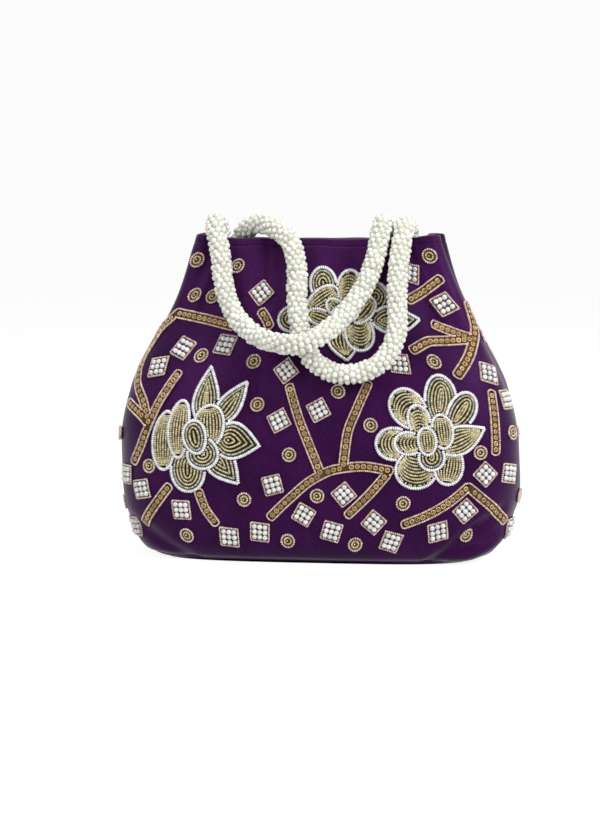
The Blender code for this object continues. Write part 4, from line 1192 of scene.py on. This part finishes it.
def rope_line(route, step, settle):
    """The middle line of a rope as points a step apart, and its length."""
    points = np.array(route) / 10000 * [1, 1, BODY_HEIGHT]
    drop = np.where(points[:, 0] < 0, settle[0], settle[1])
    points[:, 2] -= drop * np.clip((points[:, 2] - BODY_HEIGHT) / 0.010, 0, 1)
    knots = run(points)
    fine = np.linspace(0, knots[-1], 900)
    curve = np.stack([smooth_value(fine, knots, column) for column in points.T], axis=1)
    for _ in range(60):
        curve[1:-1] = 0.5 * curve[1:-1] + 0.25 * (curve[2:] + curve[:-2])
    lengths = run(curve)
    return points_at(np.linspace(0, lengths[-1], round(lengths[-1] / step) + 1), lengths, curve), lengths[-1]


def carried_frames(line):
    """Directions ahead and two directions square to it that turn as little as they can."""
    ahead = np.gradient(line, axis=0)
    ahead /= np.linalg.norm(ahead, axis=1)[:, None]
    first = np.cross(ahead[0], [0.0, 1.0, 0.2])
    sides = [first / np.linalg.norm(first)]
    for direction in ahead[1:]:
        moved = sides[-1] - direction * (sides[-1] @ direction)
        sides.append(moved / np.linalg.norm(moved))
    return ahead, np.array(sides), np.cross(ahead, np.array(sides))


# %% Rope core and pearls
CORE_RADIUS = 0.0047
CORE_STEP = 0.0025
ROPE_PEARL = 0.0037
PEARL_ROW = 0.0031
PEARLS_ROUND = 8


def make_rope(name, route, settle):
    line, length = rope_line(route, CORE_STEP, settle)
    curve = bpy.data.curves.new(name + "_core", "CURVE")
    curve.dimensions = "3D"
    curve.bevel_depth = CORE_RADIUS
    curve.bevel_resolution = 4
    curve.use_fill_caps = True
    spline = curve.splines.new("POLY")
    spline.points.add(len(line) - 1)
    spline.points.foreach_set("co", np.hstack([line, np.ones((len(line), 1))]).ravel())
    curve.materials.append(cotton_core)
    core = show(name + "_core", curve)
    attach(core, "root")
    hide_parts(name)

    rows = rope_line(route, PEARL_ROW, settle)[0][1:-1]
    spots, along, out = [], [], []
    for row, (middle, ahead, side, other) in enumerate(zip(rows, *carried_frames(rows))):
        for k in range(PEARLS_ROUND):
            turn = k + 0.5 * (row % 2) + 0.09 * row + chance.normal(0, 0.05)
            angle = 2 * math.pi * turn / PEARLS_ROUND
            outwards = math.cos(angle) * side + math.sin(angle) * other
            radius = (ROPE_DIAMETER - ROPE_PEARL) / 2 + chance.normal(0, 0.00016)
            spots.append(middle + radius * outwards + ahead * chance.normal(0, 0.0003))
            along.append(ahead)
            out.append(outwards)
    size = ROPE_PEARL * (1 + chance.normal(0, 0.05, (len(spots), 1)))
    pearls = join_parts(name + "_pearls", [bead_part(PEARL, spots, along, out, size, 0)], [rope_pearl])
    print(name, "length, mm:", round(1000 * length), "pearls:", len(spots))
    return core, pearls, line, length


front_rope = make_rope("front_handle", FRONT_HANDLE_ROUTE, (0.0, 0.0))
back_rope = make_rope("back_handle", BACK_HANDLE_ROUTE, (0.0045, 0.0028))

# %% [markdown]
# ## Handle ends and snap
# Inside the mouth each rope end is wrapped in satin, flattened into a tongue and sewn to the wall. A
# metal press snap holds the mouth shut: the socket is sewn to the front and the stud to the back, each
# by four stitches over its rim.


# %% Handle ends
WRAP_HALF = 0.0060
WRAP_WIDENS = 0.0028
WRAP_THINS = 0.0042


def rope_end(name, end, node):
    """A satin wrap that starts round like the rope and ends flat like a tongue, inside its CAD node."""
    low, high = (np.array(corner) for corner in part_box(node))
    face = math.copysign(1, end[1])
    start = np.array([end[0], end[1], high[2] - 0.0012])
    foot = np.array([(low[0] + high[0]) / 2, (high[1] if face > 0 else low[1]) - face * 0.0024, low[2]])
    turns = np.linspace(0, 2 * math.pi, 24, endpoint=False)
    rings = []
    for share in np.linspace(0, 1, 15):
        half_width = WRAP_HALF + WRAP_WIDENS * min(1, share * 1.8)
        half_depth = WRAP_HALF - WRAP_THINS * share
        crease = 1 + 0.03 * np.cos(6 * turns) * (1 - share) + 0.04 * math.cos(share * 26)
        spread = [half_width * crease * np.cos(turns), half_depth * crease * np.sin(turns), 0 * turns]
        rings.append(start + (foot - start) * share + np.stack(spread, axis=1))
    side_part = (np.concatenate(rings), grid_faces(15, 24)[:, ::-1], 0, 0.5)
    parts = [side_part, cap_part(rings[0]), cap_part(rings[-1], inwards=True)]
    return join_parts(name, parts, [satin_trim], [node])


for side, (core, pearls, line, length) in {"front": front_rope, "back": back_rope}.items():
    wraps = [rope_end(f"{side}_{hand}_end_wrap", end, f"{side}_handle_{hand}_end")
             for hand, end in (("left", line[0]), ("right", line[-1]))]
print("rope ends wrapped: 4")

# %% Snap
SNAP_STITCH = (0.0026, 0.0007, 0.0010)
SNAP_BACK = 0.0011
STITCH_LIFT = 0.0013
STITCH_RADIUS = 0.0056
# Nickel plating is a warm grey metal, and fine wear about 0.7 mm across makes it dull in patches.
WEAR_SCALE = 1400.0
# The profiles of the halves, as radii and heights off the wall.
SNAP_RIM = [(0.0002, 0.0001), (0.0068, 0.0001), (0.0070, 0.0005), (0.0068, 0.0010)]
SOCKET = SNAP_RIM + [(0.0042, 0.0012), (0.0036, 0.0021), (0.0028, 0.0021), (0.0024, 0.0014),
                     (0.0018, 0.0006), (0.0002, 0.0006)]
STUD = SNAP_RIM + [(0.0034, 0.0012), (0.0020, 0.0014), (0.0019, 0.0019), (0.0016, 0.0022),
                   (0.0002, 0.0023)]

snap_metal = emptied(bpy.data.materials.new("nickel_plated_brass_snap"))
snap_place = add(snap_metal, "ShaderNodeTexCoord").outputs["Object"]
snap_wear = add(snap_metal, "ShaderNodeTexNoise", {"Vector": snap_place, "Scale": WEAR_SCALE,
                                                    "Detail": 3.0})
snap_colour = add(snap_metal, "ShaderNodeMix", {0: snap_wear, 6: "#A89C88", 7: "#CFC8BA"},
                  data_type="RGBA")
snap_gloss = add(snap_metal, "ShaderNodeMapRange", {"Value": snap_wear, "To Min": 0.22, "To Max": 0.42})
snap_shader = add(snap_metal, "ShaderNodeBsdfPrincipled", {
    "Base Color": snap_colour.outputs[2], "Metallic": 1.0, "Roughness": snap_gloss})
add(snap_metal, "ShaderNodeOutputMaterial", {"Surface": snap_shader})


def snap_half(name, node, profile):
    """A turned half of the snap on the place of its CAD node, with four stitches over its rim."""
    low, high = (np.array(corner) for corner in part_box(node))
    centre = (low + high) / 2
    _, across, _, outwards = on_bag(2.0 if centre[1] > 0 else 0.0, centre[2])
    out = -outwards
    plane = np.array([across, np.cross(out, across)])
    back = centre - out * SNAP_BACK
    rings = [back + out * lift + circle(32, radius) @ plane for radius, lift in profile]
    angles = np.radians([45, 135, 225, 315])
    along = np.stack([np.cos(angles), np.sin(angles)], axis=1) @ plane
    spots = back + out * STITCH_LIFT + STITCH_RADIUS * along
    stitches = bead_part(STITCH, spots, along, np.tile(out, (4, 1)), SNAP_STITCH, 1)
    disc = (np.concatenate(rings), grid_faces(len(rings), 32), 0, 0.5)
    return join_parts(name, [disc, stitches], [snap_metal, satin_trim], [node])


socket = snap_half("snap_socket_disc", "snap_socket", SOCKET)
stud = snap_half("snap_stud_disc", "snap_stud", STUD)
